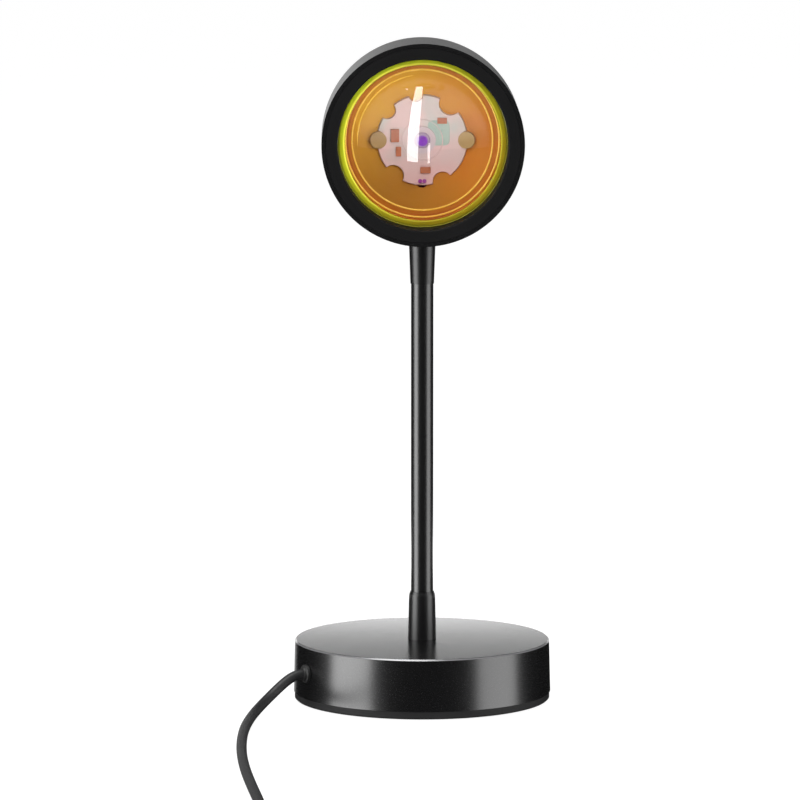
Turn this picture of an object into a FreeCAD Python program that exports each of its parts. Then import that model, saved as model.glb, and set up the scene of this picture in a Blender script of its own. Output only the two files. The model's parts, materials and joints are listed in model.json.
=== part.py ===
import FreeCAD, Part
import math
import os
import Sketcher

# A small table lamp that throws a round coloured light on a wall: a weighted round
# base, a bendable neck and a drum-shaped head with a thick domed lens.
# Millimetres. Z is up, the floor is Z = 0, the origin is on the base's axis and
# the lens looks along -Y.

doc = FreeCAD.newDocument("projection_lamp")
sheet = doc.addObject("Spreadsheet::Sheet", "dims")

DRIVING_SIZES = {
    # how far cutting shapes run past a face, and joined shapes into each other
    "overcut": 1,
    "overlap": 0.5,
    # overall
    "overall_height": 265,
    "head_diameter": 80,
    "head_depth": 40,
    "head_forward": 27,
    # base
    "base_diameter": 103,
    "base_top_diameter": 102,
    "base_height": 24.5,
    "base_chamfer": 0.6,
    "shell_wall": 1.6,
    "shell_top_wall": 2,
    "cover_band": 3.7,
    "cover_bottom": 0.6,
    "cover_edge_inset": 0.4,
    "cover_floor": 1.7,
    "cover_spigot": 1.5,
    "spigot_clearance": 0.1,
    "spigot_wall": 1.8,
    "cover_edge_break": 0.5,
    "pad_recess_clearance": 0.2,
    "pad_diameter": 89,
    "pad_thickness": 1,
    "weight_diameter": 92,
    "weight_height": 5.9,
    "weight_bore": 24,
    "weight_edge_break": 1,
    "boss_clearance": 1,
    "boss_circle": 80,
    "boss_diameter": 7,
    "boss_pilot_depth": 9,
    "screw_shank": 2.8,
    "screw_head": 5.6,
    "screw_head_height": 1.4,
    "screw_length": 9,
    "screw_clearance": 0.3,
    "countersink_clearance": 0.02,
    # cord entry
    "cord_diameter": 4,
    "cord_height": 14,
    "cord_turn": -64,
    "grommet_neck": 6,
    "grommet_flange": 7.3,
    "grommet_flange_depth": 1.3,
    "grommet_nose": 5.6,
    "grommet_nose_depth": 0.9,
    "grommet_bed": 0.15,
    "grommet_slack": 0.3,
    "grommet_inner_flange": 1.4,
    "grommet_edge": 0.3,
    "clamp_reach": 36,
    "clamp_spacing": 10.4,
    "clamp_length": 15.4,
    "clamp_width": 5,
    "clamp_height": 3.3,
    "post_diameter": 4.6,
    "clamp_pilot": 1.5,
    "clamp_pilot_depth": 6,
    "clamp_gap": 0.1,
    "clamp_screw_length": 8,
    "clamp_screw_clearance": 0.5,
    "jacket_end": 31,
    "wire_diameter": 1.3,
    "wire_spacing": 1.36,
    "wire_bend": 4,
    "wire_bend_in_head": 1.6,
    "wire_joint_offset": 1,
    "wire_lane_height": 9,
    "wire_to_rear_cover": 1.1,
    "wire_end_to_board": 1.2,
    # neck
    "neck_start": 43.6,
    "neck_end": 167.7,
    "sleeve_diameter": 8.9,
    "sleeve_bore": 6.9,
    "sleeve_seat": 7.1,
    "joint_count": 12,
    "link_side": 4.7,
    "link_bore": 3,
    "link_gap": 1.9,
    "ear_width": 2.8,
    "ear_reach": 1.3,
    "ear_inner_face": 1.6,
    "ear_split": 2.25,
    "ear_clearance": 0.06,
    "ear_outer_face": 2.95,
    "pin_diameter": 1.2,
    "pin_clearance": 0.05,
    "ear_shoulder": 1.2,
    # neck end fittings and ferrules
    "stud_diameter": 8,
    "stud_hole": 8.3,
    "fitting_bore": 3.8,
    "lower_stud": 8.2,
    "upper_stud": 7.4,
    "washer_diameter": 12.5,
    "washer_thickness": 1,
    "nut_flats": 11,
    "nut_height": 3.6,
    "lower_ferrule_bottom": 11.3,
    "lower_ferrule_top": 10.5,
    "ferrule_shoulder": 1.3,
    "ferrule_lip": 9.5,
    "upper_ferrule_bottom": 9.4,
    "upper_ferrule_top": 10.7,
    "ferrule_clearance": 0.06,
    "ferrule_saddle_rise": 0.4,
    "stud_beyond_nut": 0.4,
    # head casing
    "housing_wall": 1.6,
    "rear_cover_depth": 3,
    "rear_chamfer": 1.2,
    "ledge_depth": 1,
    "ledge_bore": 72,
    "head_boss_circle": 71.2,
    "head_boss_diameter": 6.4,
    "nut_pad_diameter": 15,
    "nut_pad_height": 0.8,
    "head_pilot_depth": 8,
    "vent_count": 12,
    "vent_inner": 15,
    "vent_outer": 27,
    "vent_width": 2,
    # lens stack, measured back from the front face of the head
    "lens_opening": 67.3,
    "bezel_diameter": 76.6,
    "bezel_face": 2,
    "bezel_skirt": 7,
    "bezel_skirt_bore": 73.8,
    "bezel_barrel": 70.8,
    "bezel_edge": 0.4,
    "barrel_depth": 15.1,
    "gasket_bore": 67.8,
    "gasket_diameter": 73.2,
    "gasket_thickness": 1,
    "lens_diameter": 73.6,
    "lens_flange": 2,
    "lens_dome": 66.8,
    "lens_sag": 15.5,
    "reflector_diameter": 73.2,
    "reflector_flange": 1.5,
    "reflector_mouth": 62,
    "reflector_throat": 57,
    "reflector_wall": 1,
    "reflector_depth": 9.7,
    "reflector_opening": 48,
    "reflector_end_wall": 1.2,
    # light source
    "sink_diameter": 58.8,
    "sink_plate": 2.2,
    "fin_height": 4.6,
    "fin_thickness": 1.4,
    "fin_pitch": 6,
    "fin_count": 7,
    "fin_length": 36,
    "board_diameter": 28,
    "board_thickness": 1.6,
    "board_notches": 8,
    "notch_diameter": 4.4,
    "emitter_diameter": 8.4,
    "emitter_base": 0.8,
    "emitter_dome": 5,
    "small_screw_shank": 2,
    "small_screw_head": 3.8,
    "small_screw_head_height": 1.2,
    "sink_screw_length": 4.3,
    "board_screw_head": 5.4,
    "board_screw_length": 4.6,
    "wire_exit": 12.9,
    "wire_hole": 3.6,
    # cord switch
    "switch_length": 54,
    "switch_width": 18,
    "switch_height": 11,
    "switch_wall": 1.4,
    "switch_collar": 2,
    "button_diameter": 9,
    "button_clearance": 0.08,
    "button_rise": 1.2,
    "button_flange": 11.4,
    "button_flange_height": 1,
    "button_gap": 0.4,
    "module_length": 13,
    "module_width": 8.4,
    "module_height": 4.2,
    # plug
    "grip_length": 25,
    "grip_width": 12.6,
    "grip_height": 8,
    "grip_edge": 1.6,
    "relief_length": 9,
    "relief_diameter": 6.4,
    "relief_end_wall": 0.5,
    "plug_length": 12,
    "plug_width": 12,
    "plug_height": 4.5,
    "plug_wall": 0.4,
    "plug_window_length": 2.5,
    "plug_window_width": 2,
    "plug_window_back": 5,
    "plug_window_across": 2.7,
    "tongue_height": 1.8,
    "tongue_setback": 0.6,
    # put-away coil
    "coil_outer_radius": 34.2,
    "coil_pitch": 5.3,
    "coil_layer": 4.6,
}

for row, (name, number) in enumerate(DRIVING_SIZES.items(), start=1):
    sheet.set("A%d" % row, name.replace("_", " "))
    sheet.set("B%d" % row, str(number))
    sheet.setAlias("B%d" % row, name)
doc.recompute()


class Size:
    """A length or count with its number and the sheet expression that gives it."""

    def __init__(self, number, text):
        self.number = float(number)
        self.text = text

    def _join(self, other, sign, number):
        return Size(number, "(%s %s %s)" % (self.text, sign, other.text))

    def __add__(self, other):
        other = as_size(other)
        return self._join(other, "+", self.number + other.number)

    def __sub__(self, other):
        other = as_size(other)
        return self._join(other, "-", self.number - other.number)

    def __mul__(self, other):
        other = as_size(other)
        return self._join(other, "*", self.number * other.number)

    def __truediv__(self, other):
        other = as_size(other)
        return self._join(other, "/", self.number / other.number)

    def __rsub__(self, other):
        return as_size(other) - self

    def __neg__(self):
        return Size(-self.number, "(-%s)" % self.text)

    __radd__ = __add__
    __rmul__ = __mul__


def as_size(thing):
    return thing if isinstance(thing, Size) else Size(thing, repr(float(thing)))


def dim(name):
    """The named cell of the sheet."""
    return Size(sheet.get(name), "dims." + name)


def bind(target, **properties):
    """Tie properties of an object to the sheet; double underscores stand for dots."""
    for name, size in properties.items():
        target.setExpression(name.replace("__", "."), as_size(size).text)


def set_aside(feature):
    """Keep a tool solid out of the list of pieces."""
    feature.Label = "tool_" + feature.Name
    return feature


PIECES = []


def piece(feature, label):
    feature.Label = label
    PIECES.append(feature)
    return feature


# ---------------------------------------------------------------- PartDesign helpers


def body(label):
    made = doc.addObject("PartDesign::Body", label)
    return piece(made, label)


def plane_of(owner, role):
    return next(f for f in owner.Origin.OriginFeatures if f.Role == role)


def sketch_on(owner, role, name, offset=0):
    """A sketch on one of the body's own planes, moved along the plane's normal."""
    sketch = owner.newObject("Sketcher::SketchObject", name)
    sketch.AttachmentSupport = [(plane_of(owner, role), "")]
    sketch.MapMode = "FlatFace"
    offset = as_size(offset)
    sketch.AttachmentOffset = FreeCAD.Placement(
        FreeCAD.Vector(0, 0, offset.number), FreeCAD.Rotation()
    )
    bind(sketch, AttachmentOffset__Base__z=offset)
    return sketch


def tie_point(sketch, geometry, vertex, across, up):
    """Hold one point of a sketch at sheet-driven coordinates."""
    for kind, size in (("DistanceX", across), ("DistanceY", up)):
        constraint = Sketcher.Constraint(kind, -1, 1, geometry, vertex, size.number)
        index = sketch.addConstraint(constraint)
        sketch.setExpression("Constraints[%d]" % index, size.text)


def outline(sketch, corners):
    """A closed outline of straight lines through sheet-driven corners."""
    corners = [(as_size(a), as_size(b)) for a, b in corners]
    points = [FreeCAD.Vector(a.number, b.number, 0) for a, b in corners]
    start = sketch.GeometryCount
    count = len(points)
    for i in range(count):
        sketch.addGeometry(Part.LineSegment(points[i], points[(i + 1) % count]), False)
    for i in range(count):
        follower = start + (i + 1) % count
        sketch.addConstraint(Sketcher.Constraint("Coincident", start + i, 2, follower, 1))
        tie_point(sketch, start + i, 1, *corners[i])


def ring(sketch, across, up, diameter):
    """A circle with a sheet-driven centre and diameter."""
    across, up, diameter = as_size(across), as_size(up), as_size(diameter)
    centre = FreeCAD.Vector(across.number, up.number, 0)
    normal = FreeCAD.Vector(0, 0, 1)
    index = sketch.addGeometry(Part.Circle(centre, normal, diameter.number / 2), False)
    tie_point(sketch, index, 3, across, up)
    constraint = Sketcher.Constraint("Diameter", index, diameter.number)
    held = sketch.addConstraint(constraint)
    sketch.setExpression("Constraints[%d]" % held, diameter.text)


def revolve(owner, corners, name="turned"):
    """Turn an outline of (radius, height) corners about the body's Z axis."""
    sketch = sketch_on(owner, "XZ_Plane", name + "_outline")
    outline(sketch, corners)
    turned = owner.newObject("PartDesign::Revolution", name)
    turned.Profile = sketch
    turned.ReferenceAxis = (sketch, ["V_Axis"])
    turned.Angle = 360
    return turned


def pad(owner, sketch, length, name, backwards=False):
    made = owner.newObject("PartDesign::Pad", name)
    made.Profile = sketch
    bind(made, Length=length)
    made.Reversed = backwards
    return made


def pocket(owner, sketch, length, name, forwards=False):
    """Cut a sketch away; forwards means along the sketch's normal."""
    made = owner.newObject("PartDesign::Pocket", name)
    made.Profile = sketch
    bind(made, Length=length)
    made.Reversed = forwards
    return made


def around(owner, features, count, name):
    """Repeat features about the body's Z axis."""
    pattern = owner.newObject("PartDesign::PolarPattern", name)
    pattern.Originals = features
    pattern.Axis = (plane_of(owner, "Z_Axis"), [""])
    pattern.Angle = 360
    bind(pattern, Occurrences=count)
    owner.Tip = pattern
    return pattern


def countersink(owner, across, along, up, backwards=False):
    """A conical recess for a screw's head, narrowing upwards or, if asked, downwards."""
    made = owner.newObject("PartDesign::SubtractiveCone", "countersink")
    made.AttachmentSupport = [(plane_of(owner, "XY_Plane"), "")]
    made.MapMode = "FlatFace"
    across, along, up = as_size(across), as_size(along), as_size(up)
    facing = FreeCAD.Rotation(FreeCAD.Vector(1, 0, 0), 180 if backwards else 0)
    spot = FreeCAD.Vector(across.number, along.number, up.number)
    made.AttachmentOffset = FreeCAD.Placement(spot, facing)
    bind(
        made,
        Radius1=dim("screw_head") / 2 + dim("countersink_clearance"),
        Radius2=dim("screw_shank") / 2 + dim("countersink_clearance"),
        Height=dim("screw_head_height"),
    )
    return made


# ---------------------------------------------------------------- primitive helpers


def at(feature, across=0, along=0, up=0):
    """Move an unturned primitive to sheet-driven coordinates; zeros stay free."""
    for axis, size in zip("xyz", (across, along, up)):
        if isinstance(size, Size) or size:
            feature.setExpression("Placement.Base." + axis, as_size(size).text)
    return feature


def cylinder(name, diameter, height, across=0, along=0, up=0):
    made = doc.addObject("Part::Cylinder", name)
    bind(made, Radius=as_size(diameter) / 2, Height=height)
    return at(set_aside(made), across, along, up)


def cone(name, bottom, top, height, across=0, along=0, up=0):
    made = doc.addObject("Part::Cone", name)
    bind(made, Radius1=as_size(bottom) / 2, Radius2=as_size(top) / 2, Height=height)
    return at(set_aside(made), across, along, up)


def block(name, width, depth, height, across=0, along=0, up=0):
    """A box centred across and along, standing on its given height."""
    width, depth = as_size(width), as_size(depth)
    made = doc.addObject("Part::Box", name)
    bind(made, Length=width, Width=depth, Height=height)
    return at(set_aside(made), across - width / 2, along - depth / 2, up)


def hexagon(name, flats, height, up=0):
    made = doc.addObject("Part::Prism", name)
    made.Polygon = 6
    bind(made, Circumradius=as_size(flats) / math.sqrt(3), Height=height)
    return at(set_aside(made), 0, 0, up)


def fuse(name, *solids):
    made = doc.addObject("Part::MultiFuse", name)
    made.Shapes = list(solids)
    return set_aside(made)


def cut(name, base, *tools):
    made = doc.addObject("Part::Cut", name)
    made.Base = base
    made.Tool = tools[0] if len(tools) == 1 else fuse(name + "_tools", *tools)
    return set_aside(made)


def common(name, first, second):
    made = doc.addObject("Part::Common", name)
    made.Base = first
    made.Tool = second
    return set_aside(made)


def group(name, *solids):
    """Several separate solids kept in one piece, such as a set of screws."""
    made = doc.addObject("Part::Compound", name)
    made.Links = list(solids)
    return set_aside(made)


def screw(name, head, shank, head_height, length, countersunk):
    """A screw on Z with its head's outer face at Z = 0 and its point upwards."""
    head_solid = (
        cone(name + "_head", head, shank, head_height)
        if countersunk
        else cylinder(name + "_head", head, head_height)
    )
    return fuse(name, head_solid, cylinder(name + "_shank", shank, length))


# ---------------------------------------------------------------- derived sizes

overcut = dim("overcut")
overlap = dim("overlap")
base_height = dim("base_height")
base_radius = dim("base_diameter") / 2
shell_top = base_height - dim("shell_top_wall")
cord_turn = FreeCAD.Rotation(FreeCAD.Vector(0, 0, 1), sheet.get("cord_turn"))
joint_pitch = (dim("neck_end") - dim("neck_start")) / dim("joint_count")
first_joint = dim("neck_start") + joint_pitch / 2
last_joint = dim("neck_end") - joint_pitch / 2
sleeve_bottom = dim("neck_start") - dim("sleeve_seat")
sleeve_top = dim("neck_end") + dim("sleeve_seat")
head_height = dim("overall_height") - dim("head_diameter") / 2
head_bottom = dim("overall_height") - dim("head_diameter")
head_inside = dim("head_diameter") - 2 * dim("housing_wall")
reflector_front = dim("barrel_depth") + dim("gasket_thickness") + dim("lens_flange")
ledge_face = reflector_front + dim("reflector_flange")
sink_front = reflector_front + dim("reflector_depth")
sink_screw_circle = (dim("reflector_opening") + dim("sink_diameter")) / 2
bush_seat = base_radius - dim("grommet_bed")
bush_end = bush_seat + dim("grommet_flange_depth") + dim("grommet_nose_depth")

# The wires change pieces where the bending part of the neck begins and ends.
NECK_WIRE_START = (sleeve_bottom - dim("wire_joint_offset")).number
NECK_WIRE_END = (sleeve_top + dim("wire_joint_offset")).number


def turn_with_cord(feature):
    """Turn a base piece so that its own -Y looks along the cord's way out."""
    turned = FreeCAD.Placement(FreeCAD.Vector(0, 0, 0), cord_turn)
    feature.Placement = turned.multiply(feature.Placement)
    return feature


# ---------------------------------------------------------------- base


def base_shell():
    """Round cup, open below, with screw bosses and two posts for the cord clamp."""
    wall = dim("shell_wall")
    top_radius = dim("base_top_diameter") / 2
    chamfer = dim("base_chamfer")
    shell = body("base_shell")
    revolve(
        shell,
        [
            (base_radius, dim("cover_band")),
            (top_radius, base_height - chamfer),
            (top_radius - chamfer, base_height),
            (dim("stud_hole") / 2, base_height),
            (dim("stud_hole") / 2, shell_top),
            (top_radius - wall, shell_top),
            (base_radius - wall, dim("cover_band")),
        ],
    )
    boss_bottom = dim("pad_thickness") + dim("cover_floor")
    boss = sketch_on(shell, "XY_Plane", "boss_outline", boss_bottom)
    ring(boss, 0, dim("boss_circle") / 2, dim("boss_diameter"))
    boss_pad = pad(shell, boss, shell_top - boss_bottom + overlap, "boss")
    pilot = sketch_on(shell, "XY_Plane", "pilot_outline", boss_bottom)
    ring(pilot, 0, dim("boss_circle") / 2, dim("screw_shank"))
    pilot_hole = pocket(shell, pilot, dim("boss_pilot_depth"), "pilot", forwards=True)
    around(shell, [boss_pad, pilot_hole], 3, "bosses")
    post_end = dim("cord_height") - dim("clamp_gap")
    posts = sketch_on(shell, "XY_Plane", "post_outline", post_end)
    holes = sketch_on(shell, "XY_Plane", "post_hole_outline", post_end)
    for side in (-1, 1):
        across = side * dim("clamp_spacing") / 2
        ring(posts, across, -dim("clamp_reach"), dim("post_diameter"))
        ring(holes, across, -dim("clamp_reach"), dim("clamp_pilot"))
    pad(shell, posts, shell_top - post_end + overlap, "clamp_posts")
    pocket(shell, holes, dim("clamp_pilot_depth"), "clamp_pilots", forwards=True)
    way_out = sketch_on(shell, "XZ_Plane", "cord_hole_outline")
    ring(way_out, 0, dim("cord_height"), dim("grommet_neck"))
    pocket(shell, way_out, base_radius + overcut, "cord_hole", forwards=True)
    turn_with_cord(shell)


def base_bottom_cover():
    """Flat cover that closes the cup and shows as the dark band at the floor."""
    cover = body("base_bottom_cover")
    edge = base_radius - dim("cover_edge_inset")
    recess = dim("pad_thickness")
    floor_top = recess + dim("cover_floor")
    spigot = base_radius - dim("shell_wall") - dim("spigot_clearance")
    spigot_bore = spigot - dim("spigot_wall")
    pad_recess = dim("pad_diameter") / 2 + dim("pad_recess_clearance")
    edge_break = dim("cover_edge_break")
    band = dim("cover_band")
    revolve(
        cover,
        [
            (0, recess),
            (pad_recess, recess),
            (pad_recess, dim("cover_bottom")),
            (edge - edge_break, dim("cover_bottom")),
            (edge, dim("cover_bottom") + edge_break),
            (edge, band),
            (spigot, band),
            (spigot, band + dim("cover_spigot")),
            (spigot_bore, band + dim("cover_spigot")),
            (spigot_bore, floor_top),
            (0, floor_top),
        ],
    )
    hole = sketch_on(cover, "XY_Plane", "screw_hole_outline", recess - overcut)
    ring(hole, 0, dim("boss_circle") / 2, dim("screw_shank") + dim("screw_clearance"))
    depth = dim("cover_floor") + 2 * overcut
    screw_hole = pocket(cover, hole, depth, "screw_hole", forwards=True)
    around(cover, [screw_hole], 3, "screw_holes")
    sink = countersink(cover, 0, dim("boss_circle") / 2, recess)
    around(cover, [sink], 3, "countersinks")
    turn_with_cord(cover)


def base_weight():
    """Cast disc that keeps the lamp upright, cleared round the screw bosses."""
    weight = body("base_weight")
    bottom = dim("pad_thickness") + dim("cover_floor")
    top = bottom + dim("weight_height")
    edge = dim("weight_diameter") / 2
    bore = dim("weight_bore") / 2
    edge_break = dim("weight_edge_break")
    revolve(
        weight,
        [
            (bore, bottom),
            (edge - edge_break, bottom),
            (edge, bottom + edge_break),
            (edge, top - edge_break),
            (edge - edge_break, top),
            (bore, top),
        ],
    )
    hole = sketch_on(weight, "XY_Plane", "boss_clearance_outline", bottom - overcut)
    ring(hole, 0, dim("boss_circle") / 2, dim("boss_diameter") + dim("boss_clearance"))
    depth = dim("weight_height") + 2 * overcut
    clearance = pocket(weight, hole, depth, "clearance", forwards=True)
    around(weight, [clearance], 3, "boss_clearances")
    turn_with_cord(weight)


def base_foot_pad():
    """Thin soft disc glued into the cover's recess; the lamp stands on it."""
    foot = cylinder("foot_disc", dim("pad_diameter"), dim("pad_thickness"))
    piece(foot, "base_foot_pad")


def base_screws():
    """Three countersunk screws through the cover into the shell's bosses."""
    screws = []
    for i in range(3):
        made = screw(
            "cover_screw_%d" % i,
            dim("screw_head"),
            dim("screw_shank"),
            dim("screw_head_height"),
            dim("screw_length"),
            countersunk=True,
        )
        angle = math.radians(sheet.get("cord_turn") + 90 + 120 * i)
        reach = dim("boss_circle") / 2
        at(made, reach * math.cos(angle), reach * math.sin(angle), dim("pad_thickness"))
        screws.append(made)
    piece(group("cover_screws", *screws), "base_screws")


def cord_grommet():
    """Soft bush snapped into the shell's side wall, gripping the cord."""
    bush = body("cord_grommet")
    inner_wall = bush_seat - dim("shell_wall") - dim("grommet_slack")
    inner_end = inner_wall - dim("grommet_inner_flange")
    flange_end = bush_seat + dim("grommet_flange_depth")
    neck = dim("grommet_neck") / 2
    flange = dim("grommet_flange") / 2
    bore = dim("cord_diameter") / 2
    nose = dim("grommet_nose") / 2
    edge = dim("grommet_edge")
    sketch = sketch_on(bush, "YZ_Plane", "bush_outline")
    profile = [
        (inner_end, bore),
        (bush_end, bore),
        (bush_end, nose - edge),
        (flange_end, nose),
        (flange_end, flange - edge),
        (flange_end - edge, flange),
        (bush_seat, flange),
        (bush_seat, neck),
        (inner_wall, neck),
        (inner_wall, flange),
        (inner_end, flange),
    ]
    height = dim("cord_height")
    outline(sketch, [(-reach, height + up) for reach, up in profile])
    axis_start = FreeCAD.Vector(-base_radius.number, height.number, 0)
    axis_end = FreeCAD.Vector(0, height.number, 0)
    axis = sketch.addGeometry(Part.LineSegment(axis_start, axis_end), True)
    sketch.addConstraint(Sketcher.Constraint("Horizontal", axis))
    tie_point(sketch, axis, 1, -base_radius, height)
    turned = bush.newObject("PartDesign::Revolution", "bush")
    turned.Profile = sketch
    turned.ReferenceAxis = (sketch, ["Axis0"])
    turned.Angle = 360
    turn_with_cord(bush)


def cord_clamp():
    """Saddle under the cord, screwed to the two posts so that a pull is held."""
    height = dim("clamp_height")
    bottom = dim("cord_height") - dim("clamp_gap") - height
    reach = dim("clamp_reach")
    width = dim("clamp_width")
    bar = block("saddle_bar", dim("clamp_length"), width, height, 0, -reach, bottom)
    groove = cylinder("saddle_groove", dim("cord_diameter"), width + 2 * overcut)
    groove_start = (width / 2 + overcut - reach).number
    groove.Placement = FreeCAD.Placement(
        FreeCAD.Vector(0, groove_start, sheet.get("cord_height")),
        FreeCAD.Rotation(FreeCAD.Vector(1, 0, 0), 90),
    )
    holes = [
        cylinder(
            "saddle_hole_%d" % side,
            dim("clamp_pilot") + dim("clamp_screw_clearance"),
            height + 2 * overcut,
            side * dim("clamp_spacing") / 2,
            -reach,
            bottom - overcut,
        )
        for side in (-1, 1)
    ]
    piece(turn_with_cord(cut("saddle", bar, groove, *holes)), "cord_clamp")
    screws = []
    for side in (-1, 1):
        made = screw(
            "saddle_screw_%d" % side,
            dim("small_screw_head"),
            dim("clamp_pilot"),
            dim("small_screw_head_height"),
            dim("clamp_screw_length"),
            countersunk=False,
        )
        head_bottom_height = bottom - dim("small_screw_head_height")
        at(made, side * dim("clamp_spacing") / 2, -reach, head_bottom_height)
        screws.append(made)
    piece(turn_with_cord(group("saddle_screws", *screws)), "cord_clamp_screws")


def lower_neck_fixing():
    """Washer and nut that pull the neck's lower end down onto the base."""
    washer_bottom = shell_top - dim("washer_thickness")
    thickness = dim("washer_thickness")
    disc = cylinder("lower_washer_disc", dim("washer_diameter"), thickness, 0, 0, washer_bottom)
    hole_length = thickness + 2 * overcut
    hole_start = washer_bottom - overcut
    hole = cylinder("lower_washer_hole", dim("stud_hole"), hole_length, 0, 0, hole_start)
    piece(cut("lower_washer_cut", disc, hole), "lower_washer")
    nut_bottom = washer_bottom - dim("nut_height")
    nut = hexagon("lower_nut_hex", dim("nut_flats"), dim("nut_height"), nut_bottom)
    bore_length = dim("nut_height") + 2 * overcut
    bore_start = nut_bottom - overcut
    thread = cylinder("lower_nut_bore", dim("stud_diameter"), bore_length, 0, 0, bore_start)
    piece(cut("lower_nut_cut", nut, thread), "lower_lock_nut")


def lower_ferrule():
    """Slightly tapered trim sleeve where the neck meets the base."""
    ferrule = body("lower_ferrule")
    shoulder = dim("neck_start") - dim("ferrule_shoulder")
    bore = dim("sleeve_diameter") / 2
    revolve(
        ferrule,
        [
            (bore, base_height),
            (dim("lower_ferrule_bottom") / 2, base_height),
            (dim("lower_ferrule_top") / 2, shoulder),
            (dim("ferrule_lip") / 2, dim("neck_start")),
            (bore, dim("neck_start")),
        ],
    )


# ---------------------------------------------------------------- neck


def ears(inner_layer, pivot, along_x, reach_to):
    """A pair of flat ears at a pivot; the inner layer has holes, the outer has pins.

    The ears stand on the X sides of the pivot if along_x is set, otherwise on Y.
    """
    width = sheet.get("ear_width")
    reach = sheet.get("ear_reach")
    split = sheet.get("ear_split")
    inner = sheet.get("ear_inner_face")
    outer = sheet.get("ear_outer_face")
    clearance = sheet.get("ear_clearance")
    pin = sheet.get("pin_diameter") / 2
    turn = FreeCAD.Rotation(FreeCAD.Vector(0, 0, 1), 0 if along_x else 90)
    low = min(reach_to, -reach) if inner_layer else -reach
    high = reach if inner_layer else max(reach_to, reach)
    near, far = (inner, split) if inner_layer else (split + clearance, outer)
    solids = []
    for side in (-1, 1):
        start = near if side > 0 else -far
        ear = Part.makeBox(far - near, width, high - low, FreeCAD.Vector(start, -width / 2, low))
        axis = FreeCAD.Vector(side, 0, 0)
        if inner_layer:
            hole = pin + sheet.get("pin_clearance")
            origin = FreeCAD.Vector(side * (near - overcut.number), 0, 0)
            length = far - near + 2 * overcut.number
            ear = ear.cut(Part.makeCylinder(hole, length, origin, axis))
        else:
            origin = FreeCAD.Vector(side * (inner + clearance), 0, 0)
            length = near - inner - clearance + overlap.number
            ear = ear.fuse(Part.makeCylinder(pin, length, origin, axis))
        solids.append(ear)
    shape = solids[0].fuse(solids[1])
    shape.Placement = FreeCAD.Placement(FreeCAD.Vector(0, 0, pivot), turn)
    return shape


def square_tube(bottom, top):
    """The hollow square core of the neck between two heights."""
    side = sheet.get("link_side")
    bore = sheet.get("link_bore")
    past = overcut.number
    outer = Part.makeBox(side, side, top - bottom, FreeCAD.Vector(-side / 2, -side / 2, bottom))
    corner = FreeCAD.Vector(-bore / 2, -bore / 2, bottom - past)
    inner = Part.makeBox(bore, bore, top - bottom + 2 * past, corner)
    return outer, inner


def pads_for_ears(bottom, height, along_x):
    """Shoulders that carry the outer ears on the square core."""
    across = 2 * sheet.get("ear_outer_face")
    width = sheet.get("ear_width")
    size = (across, width) if along_x else (width, across)
    corner = FreeCAD.Vector(-size[0] / 2, -size[1] / 2, bottom)
    return Part.makeBox(size[0], size[1], height, corner)


def lower_end(pivot, along_x):
    """Outer ears on their shoulders, for the piece above a pivot."""
    gap = sheet.get("link_gap")
    ear_pair = ears(False, pivot, along_x, gap + overlap.number)
    shoulder = sheet.get("ear_shoulder")
    return ear_pair.fuse(pads_for_ears(pivot + gap, shoulder, along_x))


def upper_end(pivot, along_x):
    """Inner ears standing on the core, for the piece below a pivot."""
    return ears(True, pivot, along_x, -sheet.get("link_gap") - overlap.number)


def solid_piece(label, shape):
    """A piece whose solid is worked out here from the sheet's numbers."""
    feature = doc.addObject("Part::Feature", label)
    feature.Shape = shape.removeSplitter()
    return piece(feature, label)


def turns_about_x(joint):
    """The joints' pins lie along X and Y in turn, starting with X at the base."""
    return joint % 2 == 0


def neck_links():
    """Short hollow links on crossed pins that stand in for the neck's wound coil."""
    gap = sheet.get("link_gap")
    pitch = joint_pitch.number
    count = int(sheet.get("joint_count"))
    for i in range(count - 1):
        bottom, top = 0, pitch
        outer, inner = square_tube(bottom + gap, top - gap)
        shape = outer.fuse(lower_end(0, turns_about_x(i)))
        shape = shape.fuse(upper_end(top, turns_about_x(i + 1))).cut(inner)
        feature = solid_piece("neck_link_%02d" % (i + 1), shape)
        bind(feature, Placement__Base__z=first_joint + i * joint_pitch)


def lower_end_fitting():
    """Threaded end of the neck: stud through the base, plug in the ferrule, ears."""
    stud = sheet.get("stud_diameter") / 2
    plug = sheet.get("sleeve_diameter") / 2
    foot = base_height.number
    gap = sheet.get("link_gap")
    stud_bottom = foot - sheet.get("lower_stud")
    shoulder = sleeve_bottom.number
    pivot = first_joint.number
    past = overcut.number
    stud_length = foot - stud_bottom + past
    stud_solid = Part.makeCylinder(stud, stud_length, FreeCAD.Vector(0, 0, stud_bottom))
    plug_solid = Part.makeCylinder(plug, shoulder - foot, FreeCAD.Vector(0, 0, foot))
    outer, inner = square_tube(shoulder - past, pivot - gap)
    bore_start = FreeCAD.Vector(0, 0, stud_bottom - past)
    bore_length = shoulder - stud_bottom + past
    bore = Part.makeCylinder(sheet.get("fitting_bore") / 2, bore_length, bore_start)
    shape = stud_solid.fuse(plug_solid).fuse(outer).fuse(upper_end(pivot, turns_about_x(0)))
    solid_piece("lower_end_fitting", shape.cut(inner).cut(bore))


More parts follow.
